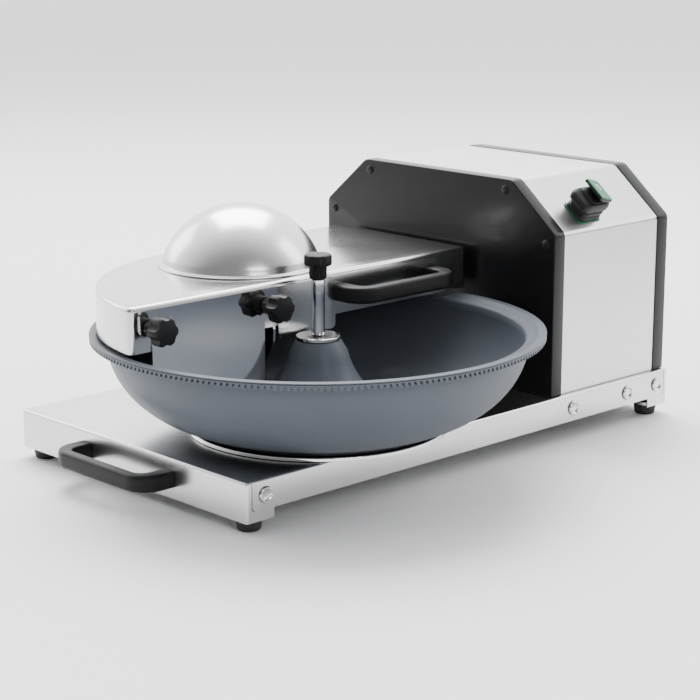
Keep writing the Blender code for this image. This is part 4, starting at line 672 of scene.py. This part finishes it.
# Turntable disc, clamp disc and spindle, turned about the bowl's axis
tableShape = {"steps": 144, "below": [(0.0103, -0.0027), (0.014, -0.0027), (0.014, 0.0005), (0.1326, 0.0005),
                                      (0.133, 0.0009)],
              "edge": (0.1318, 0.0033, 0.0012), "above": [(0.0103, 0.0045)]}
clampShape = {"steps": 96, "below": [(0.0053, 0.0903), (0.0219, 0.0903), (0.0225, 0.0909)],
              "edge": (0.0215, 0.0930, 0.0010),
              "above": [(0.0095, 0.0940), (0.0090, 0.0937), (0.0053, 0.0937)]}
spindleShape = {"steps": 64,
                "outline": [(speck, 0.0697), (0.005, 0.0697), (0.005, 0.0943), (0.0063, 0.0943),
                            (0.00675, 0.0948), (0.00675, 0.1507), (0.0063, 0.1512), (0.004, 0.1512),
                            (0.004, 0.1632), (speck, 0.1632)]}


def turnDisc(name, look):
    outline = look["below"] + roundTurn(*look["edge"], 0, 90, 4) + look["above"]
    return turnOnWheel(name, outline, look["steps"], bowlAxis)


turntable = turnDisc("turntable_disc", tableShape)
dress(turntable, 40, mirrorSteel, "mirror_steel", "bowl", "bowl_turntable")
clamp = turnDisc("clamp_disc_turned", clampShape)
dress(clamp, 40, turnedSteel, "bright_steel", "bowl", "clamp_disc")
spindle = turnOnWheel("spindle_polished", spindleShape["outline"], spindleShape["steps"], bowlAxis,
                      shut=False)
dress(spindle, 40, mirrorSteel, "mirror_steel", "bowl", "spindle_rod")
print("stage: turntable, clamp, spindle")

# Lid: sheet bent down all round, its front wall drawn back behind the spindle, a tab below it
lidShape = {"front": 0.1215, "right": 0.424, "radius": 0.221, "top": 0.1504, "skirt": 0.1055,
            "tabLow": 0.091, "tab": (0.150, 0.227), "recess": (0.145, 0.221), "recessDepth": 0.0052,
            "lip": 0.1452, "rolled": 0.004, "corner": 0.0065, "tabCorner": 0.005, "sheet": 0.0015,
            "steps": 256, "port": (0.183, 0.218), "portRadius": 0.083, "notch": (0.217, 0.114),
            "notchRadius": 0.012, "notchLow": 0.09, "lipStep": 0.0008, "hollowRolled": 0.0025,
            "hollowCorner": 0.005, "backCut": 0.0095, "frontCut": 0.012, "cornerRoom": 0.012}


def lidBlock(name, inset, low, high, rolled, corner):
    # the lid's plan drawn up as a solid, drawn in by an inset
    s = lidShape
    front, right = s["front"] + inset, s["right"] - inset
    deselectAll()
    bpy.ops.mesh.primitive_circle_add(vertices=s["steps"], radius=s["radius"] - inset, fill_type="NGON",
                                      location=baseOrigin + Vector((bowlShape["x"], bowlShape["y"], high)))
    block = bpy.context.object
    block.name = name
    applyPlace()
    startEdit(block)
    cutPlane((0, front, 0), (0, -1, 0), clear_outer=True)
    cutPlane(bowlAxis, (1, 0, 0), clear_outer=True)
    selectWhere(lambda a, b: near(inBase(a).x, bowlAxis[0]) and near(inBase(b).x, bowlAxis[0]), "EDGE")
    drawOut((right - bowlAxis[0], 0, 0))
    selectAll()
    bpy.ops.mesh.dissolve_limited(angle_limit=math.radians(0.01))
    # room on the arc for the rounded corner
    endEdit()
    frontRow = [inBase(vert.co) for vert in block.data.vertices if near(inBase(vert.co).y, front)]
    bend = min(frontRow, key=lambda spot: spot.x)
    startEdit(block)
    selectWhere(lambda spot: 1e-6 < (inBase(spot) - bend).length < s["cornerRoom"])
    bpy.ops.mesh.dissolve_verts()
    bpy.ops.mesh.select_mode(type="FACE")
    selectAll()
    drawOut((0, 0, low - high))
    faceOutward()
    endEdit()

    def cornerEdge(a, b):
        a, b = inBase(a), inBase(b)
        upright = near(a.x, b.x) and near(a.y, b.y)
        return upright and (a.x > right - slack or (a.y < front + slack and a.x < 0))

    bevelWhere(block, cornerEdge, corner, 6)
    bevelWhere(block, lambda a, b: min(inBase(a).z, inBase(b).z) > high - hair, rolled, 5)
    startEdit(block)
    start, end = s["recess"]
    for k in range(17):
        cutPlane((start + (end - start) * k / 16, 0, 0), (1, 0, 0))
    for level in (s["lip"], s["lip"] - s["lipStep"]):
        cutPlane((0, 0, level), (0, 0, 1))
    endEdit()
    for vert in block.data.vertices:
        spot = inBase(vert.co)
        if start < spot.x < end and spot.y < front + slack and spot.z < s["lip"] - s["lipStep"] / 2:
            vert.co.y += s["recessDepth"] * math.sin(math.pi * (spot.x - start) / (end - start))
    return block


def makeLid():
    s = lidShape
    lid = lidBlock("lid_sheet", 0, s["tabLow"], s["top"], s["rolled"], s["corner"])
    cutAway(lid, lidBlock("lid_hollow", s["sheet"], s["tabLow"] - 0.02, s["top"] - s["sheet"],
                          s["hollowRolled"], s["hollowCorner"]))
    # skirt cut up to its level everywhere but at the tab
    deep, left, past = s["tabLow"] - 0.01, -0.06, 0.45
    cutAway(lid, addBlock("skirt_cut_back", (left, s["front"] + s["backCut"], deep),
                          (past, 0.36, s["skirt"])))
    for start, end in ((left, s["tab"][0]), (s["tab"][1], past)):
        cutAway(lid, addBlock("skirt_cut", (start, 0.10, deep),
                              (end, s["front"] + s["frontCut"], s["skirt"])))

    def tabCorner(a, b):
        a, b = inBase(a), inBase(b)
        across = near(a.x, b.x) and near(a.z, b.z)
        return across and a.z < s["tabLow"] + slack and any(near(a.x, end, slack) for end in s["tab"])

    bevelWhere(lid, tabCorner, s["tabCorner"], 5)
    # round port under the dome and the shaft's notch in the end wall
    cutAway(lid, addDrum(s["portRadius"], 0.02, baseOrigin + Vector((*s["port"], s["top"])), 96))
    right, radius, (y, z) = s["right"], s["notchRadius"], s["notch"]
    cutAway(lid, addDrum(radius, 0.02, baseOrigin + Vector((right, y, z)), 48, True))
    cutAway(lid, addBlock("notch_cut", (right - 0.01, y - radius, s["notchLow"]),
                          (right + 0.01, y + radius, z)))
    return lid


lid = makeLid()
dress(lid, 32, satinSteel, "satin_steel", "lid", "lid_cover")
print("stage: lid")

# Dome: pressed cap with a small rolled foot
domeShape = {"radius": 0.084, "flange": 0.087, "height": 0.0635, "low": 0.1507, "sheet": 0.0015, "steps": 160,
             "lap": 0.003, "roll": 0.0007, "footRise": [(0.0016, 0.0016), (0.0008, 0.0022), (0.0002, 0.0032)],
             "skinFrom": 0.0042, "liningFrom": 0.001}


def domeOutline():
    s = domeShape
    crown = (s["radius"] ** 2 + s["height"] ** 2) / (2 * s["height"])
    centre = s["low"] + s["height"] - crown
    reach = math.asin(s["radius"] / crown)
    points = [(crown - s["sheet"] - s["lap"], s["low"]), (s["flange"], s["low"])]
    points += roundTurn(s["flange"] - s["roll"], s["low"] + 0.0008, s["roll"], 0, 90, 3)
    skin, lining = [], []
    for k in range(31):
        a = reach * (1 - k / 30)
        skin.append((crown * math.sin(a), centre + crown * math.cos(a)))
        lining.append(((crown - s["sheet"]) * math.sin(a), centre + (crown - s["sheet"]) * math.cos(a)))
    skin = [p for p in skin if p[1] > s["low"] + s["skinFrom"]]
    points += [(skin[0][0] + out, s["low"] + up) for out, up in s["footRise"]]
    lining = [p for p in lining if p[1] > s["low"] + s["liningFrom"]]
    return points + skin + lining[::-1] + [(points[0][0], s["low"])]


dome = turnOnWheel("dome_pressed", domeOutline(), domeShape["steps"], (*lidShape["port"], 0), shut=False)
dress(dome, 50, domeSteel, "mirror_steel", "lid", "lid_dome")
print("stage: dome")

# Bow handles: one moulding, bent in plan from a bar with rounded edges
bowShape = {"length": 0.151, "reach": 0.040, "foot": 0.0175, "bar": 0.012, "height": 0.017, "corner": 0.025,
            "innerCorner": 0.011, "ease": 0.0036, "innerEase": 0.0024, "carryAt": (-0.0003, 0.1055, -0.0205),
            "liftAt": (0.3746, 0.1212, 0.128)}


def makeBow(name):
    # drawn flat with its feet on the wall at X 0, reaching to -X, standing from 0 along +Y
    s = bowShape
    inner = s["reach"] - s["bar"]
    bow = addCube(name, (-s["reach"] / 2, s["length"] / 2, 0), (s["reach"], s["length"], s["height"]))
    bevelWhere(bow, lambda a, b: abs(a.z - b.z) > 0.01 and a.x < -s["reach"] + slack, s["corner"], 14)
    hollow = addCube("bow_hollow", (-inner / 2 + 0.01, s["length"] / 2, 0),
                     (inner + 0.02, s["length"] - s["foot"] * 2, 0.05))
    bevelWhere(hollow, lambda a, b: abs(a.z - b.z) > 0.01 and a.x < -inner + slack, s["innerCorner"], 10)
    cutAway(bow, hollow)

    def longEdge(a, b):
        level = near(a.z, b.z) and near(abs(a.z), s["height"] / 2)
        return level and min(a.x, b.x) < -slack

    def outside(a, b):
        middle = (a + b) / 2
        halfGap = s["length"] / 2 - s["foot"] + slack
        inside = middle.x > -inner - slack and abs(middle.y - s["length"] / 2) < halfGap
        return longEdge(a, b) and not inside

    bevelWhere(bow, outside, s["ease"], 6)
    bevelWhere(bow, lambda a, b: longEdge(a, b) and not outside(a, b), s["innerEase"], 4)
    return bow


carryBow = makeBow("carry_bow")
settle(carryBow, bowShape["carryAt"])
dress(carryBow, 28, blackPlastic, "black_plastic", "base", "base_handle")
liftBow = makeBow("lid_bow")
settle(liftBow, bowShape["liftAt"], math.pi / 2)
dress(liftBow, 28, blackPlastic, "black_plastic", "lid", "lid_handle")
print("stage: handles")

# Housing: two thick plates of one outline, and the folded wrap between them
housingShape = {"near": 0.0055, "far": 0.3545, "low": 0.0003, "side": 0.176, "top": 0.2283, "run": 0.0628,
                "front": (0.435, 0.452), "rear": (0.6095, 0.628), "wrap": (0.4523, 0.6092), "inset": 0.001,
                "sheet": 0.0015, "plateFold": 0.004, "plateEase": 0.00132, "fold": 0.0035,
                "bores": ((0.217, 0.112, 0.0168), (0.331, 0.125, 0.0063)), "glandRadius": 0.0083,
                "slots": 6, "slotLevel": 0.112, "slotPitch": 0.013, "slotHalf": 0.0025, "slotRound": 0.00245,
                "slotRun": (0.189, 0.245), "caps": ((0.077, 0.2167), (0.284, 0.2167), (0.018, 0.1653),
                                                    (0.343, 0.1653))}
slopeAngle = math.atan2(housingShape["top"] - housingShape["side"], housingShape["run"])


def housingBlock(name, start, end, inset, low):
    # five-sided block: a box with its two upper long edges cut off along the slopes
    s = housingShape
    block = addBlock(name, (start, s["near"] + inset, low), (end, s["far"] - inset, s["top"] - inset))
    for side, spot in ((-1, s["near"]), (1, s["far"])):
        way = Vector((0, side * math.sin(slopeAngle), math.cos(slopeAngle)))
        startEdit(block)
        cutPlane(Vector((0, spot, s["side"])) - way * inset, way, use_fill=True, clear_outer=True)
        endEdit()
    return block


def isFold(a, b):
    a, b = inBase(a), inBase(b)
    return near(a.y, b.y) and near(a.z, b.z) and a.z > 0.02


def makePlate(name, start, end):
    s = housingShape
    plate = housingBlock(name, start, end, 0, s["low"])
    bevelWhere(plate, isFold, s["plateFold"], 5)
    easeEdges(plate, s["plateEase"], 3, 25)
    return plate


frontPlate = makePlate("front_plate", *housingShape["front"])
for y, z, radius in housingShape["bores"]:  # for the shaft and the hinge rod
    middle = baseOrigin + Vector((sum(housingShape["front"]) / 2, y, z))
    cutAway(frontPlate, addDrum(radius, 0.05, middle, 64, True))
dress(frontPlate, 30, blackCoat, "black_coat", "base", "housing_front_plate")

rearPlate = makePlate("rear_plate", *housingShape["rear"])
slotHalf, (slotStart, slotEnd) = housingShape["slotHalf"], housingShape["slotRun"]
for k in range(housingShape["slots"]):  # cooling slots
    level = housingShape["slotLevel"] + (k - (housingShape["slots"] - 1) / 2) * housingShape["slotPitch"]
    slot = addBlock("slot_cut", (0.60, slotStart, level - slotHalf), (0.64, slotEnd, level + slotHalf))
    bevelWhere(slot, lambda a, b: abs(a.x - b.x) > 0.02, housingShape["slotRound"], 5)
    cutAway(rearPlate, slot)
low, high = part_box("cable_gland")
middle = (low[0] + 0.01, (low[1] + high[1]) / 2, (low[2] + high[2]) / 2)
cutAway(rearPlate, addDrum(housingShape["glandRadius"], 0.05, middle, 48, True))
dress(rearPlate, 30, blackCoat, "black_coat", "base", "housing_rear_plate")
print("stage: housing plates")

# bolt caps in the plates' corners
capShape = {"steps": 40, "outline": [(speck, -0.0002), (0.0046, -0.0002), (0.0048, 0.0003), (0.0044, 0.0010),
                                     (0.0034, 0.0015), (0.0018, 0.0018), (speck, 0.0019)]}
for plateX, away in ((housingShape["front"][0], -1), (housingShape["rear"][1], 1)):
    for y, z in housingShape["caps"]:
        cap = turnOnWheel("bolt_cap", capShape["outline"], capShape["steps"], shut=False)
        settle(cap, (plateX, y, z), away * math.pi / 2, "Y")
        dress(cap, 50, blackPlastic, "black_plastic", "base")


def makeWrap():
    s = housingShape
    wrap = housingBlock("wrap_folded", s["wrap"][0], s["wrap"][1], s["inset"], s["low"])
    bevelWhere(wrap, isFold, s["fold"], 5)
    past = 0.01
    start, end = s["wrap"][0] - past, s["wrap"][1] + past
    hollow = housingBlock("wrap_hollow", start, end, s["inset"] + s["sheet"], -past)
    bevelWhere(hollow, isFold, s["fold"] - s["sheet"], 5)
    cutAway(wrap, hollow)
    # shallow seam under the near fold
    line = s["side"] - 0.0022
    cutAway(wrap, addBlock("seam_cut", (start, s["near"] - 0.002, line - 0.0008),
                           (end, s["near"] + s["inset"] + 0.0011, line + 0.0008)))
    return wrap


wrap = makeWrap()
dress(wrap, 30, wrapSteel, "satin_steel", "base", "housing_wrap")
print("stage: wrap")

# Base pan: folded sheet, end walls lapped round the corners, slit beside each lap
panShape = {"long": 0.630, "wide": 0.360, "deep": 0.040, "flange": 0.030, "tab": 0.034, "bend": 0.003,
            "sheet": 0.0015, "slit": 0.0065, "slitEnd": 0.027, "slitTop": 0.0022, "slitHalf": 0.0004,
            "slitReach": 0.0045, "kick": 0.0038, "kickTurn": 48, "portRadius": 0.0165}


def makePan():
    s = panShape
    pan = addBlock("pan_folded", (0, 0, -s["deep"]), (s["long"], s["wide"], 0))
    bevelWhere(pan, lambda a, b: max(inBase(a).z, inBase(b).z) > -hair, s["bend"], 5)
    hollow = addBlock("pan_hollow", (s["sheet"], s["sheet"], -s["deep"] - 0.01),
                      (s["long"] - s["sheet"], s["wide"] - s["sheet"], -s["sheet"]))
    bevelWhere(hollow, lambda a, b: max(inBase(a).z, inBase(b).z) > -s["sheet"] - hair,
               s["bend"] - s["sheet"], 4)
    cutAway(pan, hollow)
    for low, high in ((-0.01, 0.01), (s["wide"] - 0.01, s["wide"] + 0.01)):
        cutAway(pan, addBlock("flange_cut", (s["tab"], low, -s["deep"] - 0.01),
                              (s["long"] - s["tab"], high, -s["flange"])))
    # slit beside each lap, kicked over at its lower end
    for middle, side in ((s["slit"], 1), (s["long"] - s["slit"], -1)):
        start, end = middle - s["slitHalf"], middle + s["slitHalf"]
        for low, high in ((-0.002, s["slitReach"]), (s["wide"] - s["slitReach"], s["wide"] + 0.002)):
            cutAway(pan, addBlock("slit_cut", (start, low, -s["slitEnd"]), (end, high, -s["slitTop"])))
            kick = addBlock("slit_kick", (start, low, -s["slitEnd"] - s["kick"]),
                            (end, high, -s["slitEnd"] + 0.0003))
            pivot = baseOrigin + Vector((middle, 0, -s["slitEnd"]))
            lean = Matrix.Rotation(-side * math.radians(s["kickTurn"]), 4, "Y")
            kick.data.transform(Matrix.Translation(pivot) @ lean @ Matrix.Translation(-pivot))
            cutAway(pan, kick)
    cutAway(pan, addDrum(s["portRadius"], 0.02, baseOrigin + Vector(bowlAxis), 64))
    return pan


pan = makePan()
dress(pan, 30, panSteel, "satin_steel", "base", "base_pan")
print("stage: base pan")

# feet: rubber cones under a steel ring, their studs up to the top sheet
footShape = {"steps": 64, "along": {"free": 0.017, "motor": 0.613}, "across": {"near": 0.017, "far": 0.343},
             "cone": [(speck, -0.052), (0.0094, -0.052), (0.0105, -0.0516), (0.0114, -0.0505),
                      (0.0128, -0.0418), (0.0126, -0.0413), (0.0065, -0.0413), (0.0065, -0.0018),
                      (speck, -0.0018)],
             "ring": [(0.0066, -0.0412), (0.0122, -0.0412), (0.0126, -0.0408), (0.0126, -0.0377),
                      (0.0122, -0.0373), (0.0066, -0.0373)]}
for end, x in footShape["along"].items():
    for row, y in footShape["across"].items():
        foot = turnOnWheel(f"foot_cone_{end}_{row}", footShape["cone"], footShape["steps"], (x, y, 0),
                           shut=False)
        dress(foot, 35, rubberBlack, "rubber", "base", f"foot_{end}_{row}")
        washer = turnOnWheel(f"foot_ring_{end}_{row}", footShape["ring"], footShape["steps"], (x, y, 0))
        dress(washer, 35, turnedSteel, "bright_steel", "base")

# side screws: dished heads with a raised rim
screwShape = {"steps": 48, "level": -0.0156, "along": (0.0235, 0.4657, 0.5582, 0.6105),
              "outline": [(speck, -0.0085), (0.0026, -0.0085), (0.0026, 0.0002), (0.0077, 0.0002),
                          (0.0081, 0.0006), (0.0081, 0.0012), (0.0078, 0.0019), (0.0071, 0.0025),
                          (0.0064, 0.0026), (0.0058, 0.0023), (0.0050, 0.0013), (0.0034, 0.0008),
                          (speck, 0.0007)]}
for row, y, turn in (("near", 0, math.pi / 2), ("far", panShape["wide"], -math.pi / 2)):
    for number, x in enumerate(screwShape["along"], 1):
        screw = turnOnWheel(f"dished_screw_{row}_{number}", screwShape["outline"], screwShape["steps"],
                            shut=False)
        settle(screw, (x, y, screwShape["level"]), turn, "X")
        dress(screw, 45, mirrorSteel, "bright_steel", "base", f"side_screw_{row}_{number}")
print("stage: feet and screws")


# Switch: rubber boot in soft steps on a thin green gasket, with the rocker's skirt and face above
switchShape = {"x": 0.501, "y": 0.02494, "z": 0.19100, "corner": 0.0042, "gasketCorner": 0.004,
               "boot": [(21.6, 19.6, -12, 0), (21.6, 19.6, 1.2, 0), (33.8, 28.4, 1.2, 0), (34.4, 29, 1.8, 0),
                        (34.4, 29, 5.0, 0), (33.6, 28.4, 6.0, 0), (31.4, 26.6, 6.4, 0), (30.6, 26, 7.2, 0),
                        (30.6, 26, 8.6, 0), (33.6, 28.4, 9.4, 0), (33.6, 28.4, 12.2, 0), (31, 26.4, 13.0, 0),
                        (31, 26.4, 14.6, 0), (39, 28.4, 15.1, -2), (42, 29.4, 16.4, -2.9), (43, 30, 18.6, -3),
                        (43, 30, 21.0, -3), (41.6, 29.2, 23.6, -3), (38, 27.6, 25.6, -2.5),
                        (33, 26.4, 26.1, -1.5), (27, 23.5, 26.3, 0), (27, 23.5, 27.2, 0), (26, 22.6, 27.8, 0),
                        (6, 20, 27.9, 0), (6, 20, 29.7, 0)],
               "gasket": [(35.6, 30.2, 0.2, 0), (36, 30.6, 0.5, 0), (36, 30.6, 1.0, 0), (35.4, 30.0, 1.2, 0)]}
slopeFrame = (Matrix.Translation(baseOrigin + Vector([switchShape[k] for k in "xyz"]))
              @ Matrix.Rotation(slopeAngle, 4, "X"))


def stackSteps(name, sections, corner, place):
    # a soft-cornered block drawn up through steps of length, width, height and shift, all in millimetres
    length, width, level, shift = sections[0]
    deselectAll()
    bpy.ops.mesh.primitive_plane_add(size=1)
    piece = bpy.context.object
    piece.name = name
    piece.scale = (length / 1000, width / 1000, 1)
    piece.location = (shift / 1000, 0, level / 1000)
    applyPlace()
    startEdit(piece)
    selectAll()
    bpy.ops.mesh.bevel(offset=corner, segments=5, affect="VERTICES")
    bpy.ops.mesh.select_mode(type="FACE")
    selectAll()
    for after in sections[1:]:
        drawOut(((after[3] - shift) / 1000, 0, (after[2] - level) / 1000))
        bpy.ops.transform.resize(value=(after[0] / length, after[1] / width, 1),
                                 center_override=(after[3] / 1000, 0, after[2] / 1000))
        length, width, level, shift = after
    faceOutward()
    endEdit()
    piece.matrix_world = place
    applyPlace()
    return piece


boot = stackSteps("switch_boot", switchShape["boot"], switchShape["corner"], slopeFrame)
dress(boot, 50, rubberBoot, "black_plastic", "base", "switch_body")
gasket = stackSteps("switch_gasket", switchShape["gasket"], switchShape["gasketCorner"], slopeFrame)
dress(gasket, 40, greenPlastic, "switch_green", "base")

# the rocker about its pivot: a skirt with a bent underside, the green face and a ring on it
rockerShape = {"pivot": 0.031, "tilt": 18, "skirt": (0.0250, 0.0285, 0.0036), "dip": 0.001, "lift": 0.0012,
               "ease": 0.0005, "faceCorner": 0.0016, "ring": 0.0034, "wire": 0.00055,
               "ringAt": (0, 0.003, 0.00492),
               "face": [(24.6, 28.1, 3.62, 0), (25.0, 28.5, 3.9, 0), (25.0, 28.5, 4.5, 0),
                        (24.5, 28.0, 4.85, 0), (23.6, 27.1, 5.0, 0), (22.4, 25.9, 4.95, 0)]}
rockFrame = (slopeFrame @ Matrix.Translation((0, 0, rockerShape["pivot"]))
             @ Matrix.Rotation(math.radians(rockerShape["tilt"]), 4, "Y"))
skirt = addCube("rocker_skirt", (0, 0, rockerShape["skirt"][2] / 2), rockerShape["skirt"])
startEdit(skirt)
selectAll()
bpy.ops.mesh.bisect(plane_co=(0, 0, 0), plane_no=(1, 0, 0))
selectWhere(lambda c: abs(c.x) < 1e-6 and c.z < 1e-6)
bpy.ops.transform.translate(value=(0, 0, -rockerShape["dip"]))
selectWhere(lambda c: abs(c.x) > 0.01 and c.z < 1e-6)
bpy.ops.transform.translate(value=(0, 0, rockerShape["lift"]))
endEdit()
easeEdges(skirt, rockerShape["ease"], 3, 40)
skirt.matrix_world = rockFrame
applyPlace()
dress(skirt, 40, blackPlastic, "black_plastic", "switch_rocker", "switch_rocker")
face = stackSteps("rocker_face", rockerShape["face"], rockerShape["faceCorner"], rockFrame)
dress(face, 40, greenPlastic, "switch_green", "switch_rocker")
deselectAll()
bpy.ops.mesh.primitive_torus_add(major_radius=rockerShape["ring"], minor_radius=rockerShape["wire"],
                                 major_segments=64, minor_segments=12)
mark = bpy.context.object
mark.name = "rocker_ring_mark"
mark.scale = (1, 1, 0.5)
mark.location = rockerShape["ringAt"]
applyPlace()
mark.matrix_world = rockFrame
applyPlace()
dress(mark, 60, markWhite, "switch_green", "switch_rocker")
print("stage: switch")

# Knobs: turned blanks with their finger hollows cut out
knobShape = {"steps": 96, "level": 0.1515, "ease": 0.00035, "easeSteps": 2, "flutes": 8,
             "cuts": ((0.01655, 0.0036, 0.0130, 0.0262), (0.01075, 0.0026, -0.001, 0.0129)),
             "outline": [(0.0044, 0), (0.0070, 0), (0.0084, 0.0009), (0.009, 0.0026), (0.009, 0.0118),
                         (0.0094, 0.0134), (0.0118, 0.0137), (0.0133, 0.0143), (0.014, 0.0156),
                         (0.014, 0.0226), (0.0134, 0.0244), (0.0120, 0.0253), (0.0100, 0.0255),
                         (speck, 0.0255), (speck, 0.0125), (0.0044, 0.0125)]}
starShape = {"steps": 96, "ease": 0.0006, "easeSteps": 3, "flutes": 6,
             "cuts": ((0.0180, 0.0066, 0.0122, 0.0285),),
             "places": {"star_knob_free": (-0.015, 0.1197, 0.129),
                        "star_knob_inner": (0.1315, 0.1197, 0.129)},
             "outline": [(speck, -0.0083), (0.0027, -0.0083), (0.0030, -0.0080), (0.0030, 0), (0.0066, 0),
                         (0.0080, 0.0008), (0.0085, 0.0022), (0.0085, 0.0108), (0.0092, 0.0124),
                         (0.0130, 0.0132), (0.0147, 0.0150), (0.0147, 0.0249), (0.0136, 0.0267),
                         (0.0118, 0.0275), (speck, 0.0275)]}


def makeKnob(name, look, shut):
    # each cut gives how far out the hollows stand, their radius, and the heights they run between
    knob = turnOnWheel(name, look["outline"], look["steps"], shut=shut)
    for reach, radius, low, high in look["cuts"]:
        tools = []
        for k in range(look["flutes"]):
            a = math.tau * (k + 0.5) / look["flutes"]
            middle = (reach * math.cos(a), reach * math.sin(a), (low + high) / 2)
            tools.append(addDrum(radius, high - low, middle, 40))
        joinAll(tools)
        applyPlace()
        cutAway(knob, tools[0])
    easeEdges(knob, look["ease"], look["easeSteps"], 32)
    return knob


topKnob = makeKnob("top_knob_moulded", knobShape, True)
settle(topKnob, (*bowlAxis[:2], knobShape["level"]))
dress(topKnob, 32, blackPlastic, "black_plastic", "top_knob", "top_knob")
for node, place in starShape["places"].items():
    star = makeKnob(f"{node}_moulded", starShape, False)
    settle(star, place, math.pi / 2, "X")
    dress(star, 32, blackPlastic, "black_plastic", node, node)
print("stage: knobs")

# Hinge: bright rod through two barrels
rodShape = {"steps": 64, "at": (0, 0.331, 0.125),
            "outline": [(speck, 0.230), (0.0052, 0.230), (0.0060, 0.2308), (0.0060, 0.4512), (0.0052, 0.452),
                        (speck, 0.452)]}
hingeRod = turnOnWheel("hinge_rod_ground", rodShape["outline"], rodShape["steps"], rodShape["at"],
                       alongX=True, shut=False)
dress(hingeRod, 35, turnedSteel, "bright_steel", "base", "hinge_rod")
print("stage: hinge")

print("stage: done")
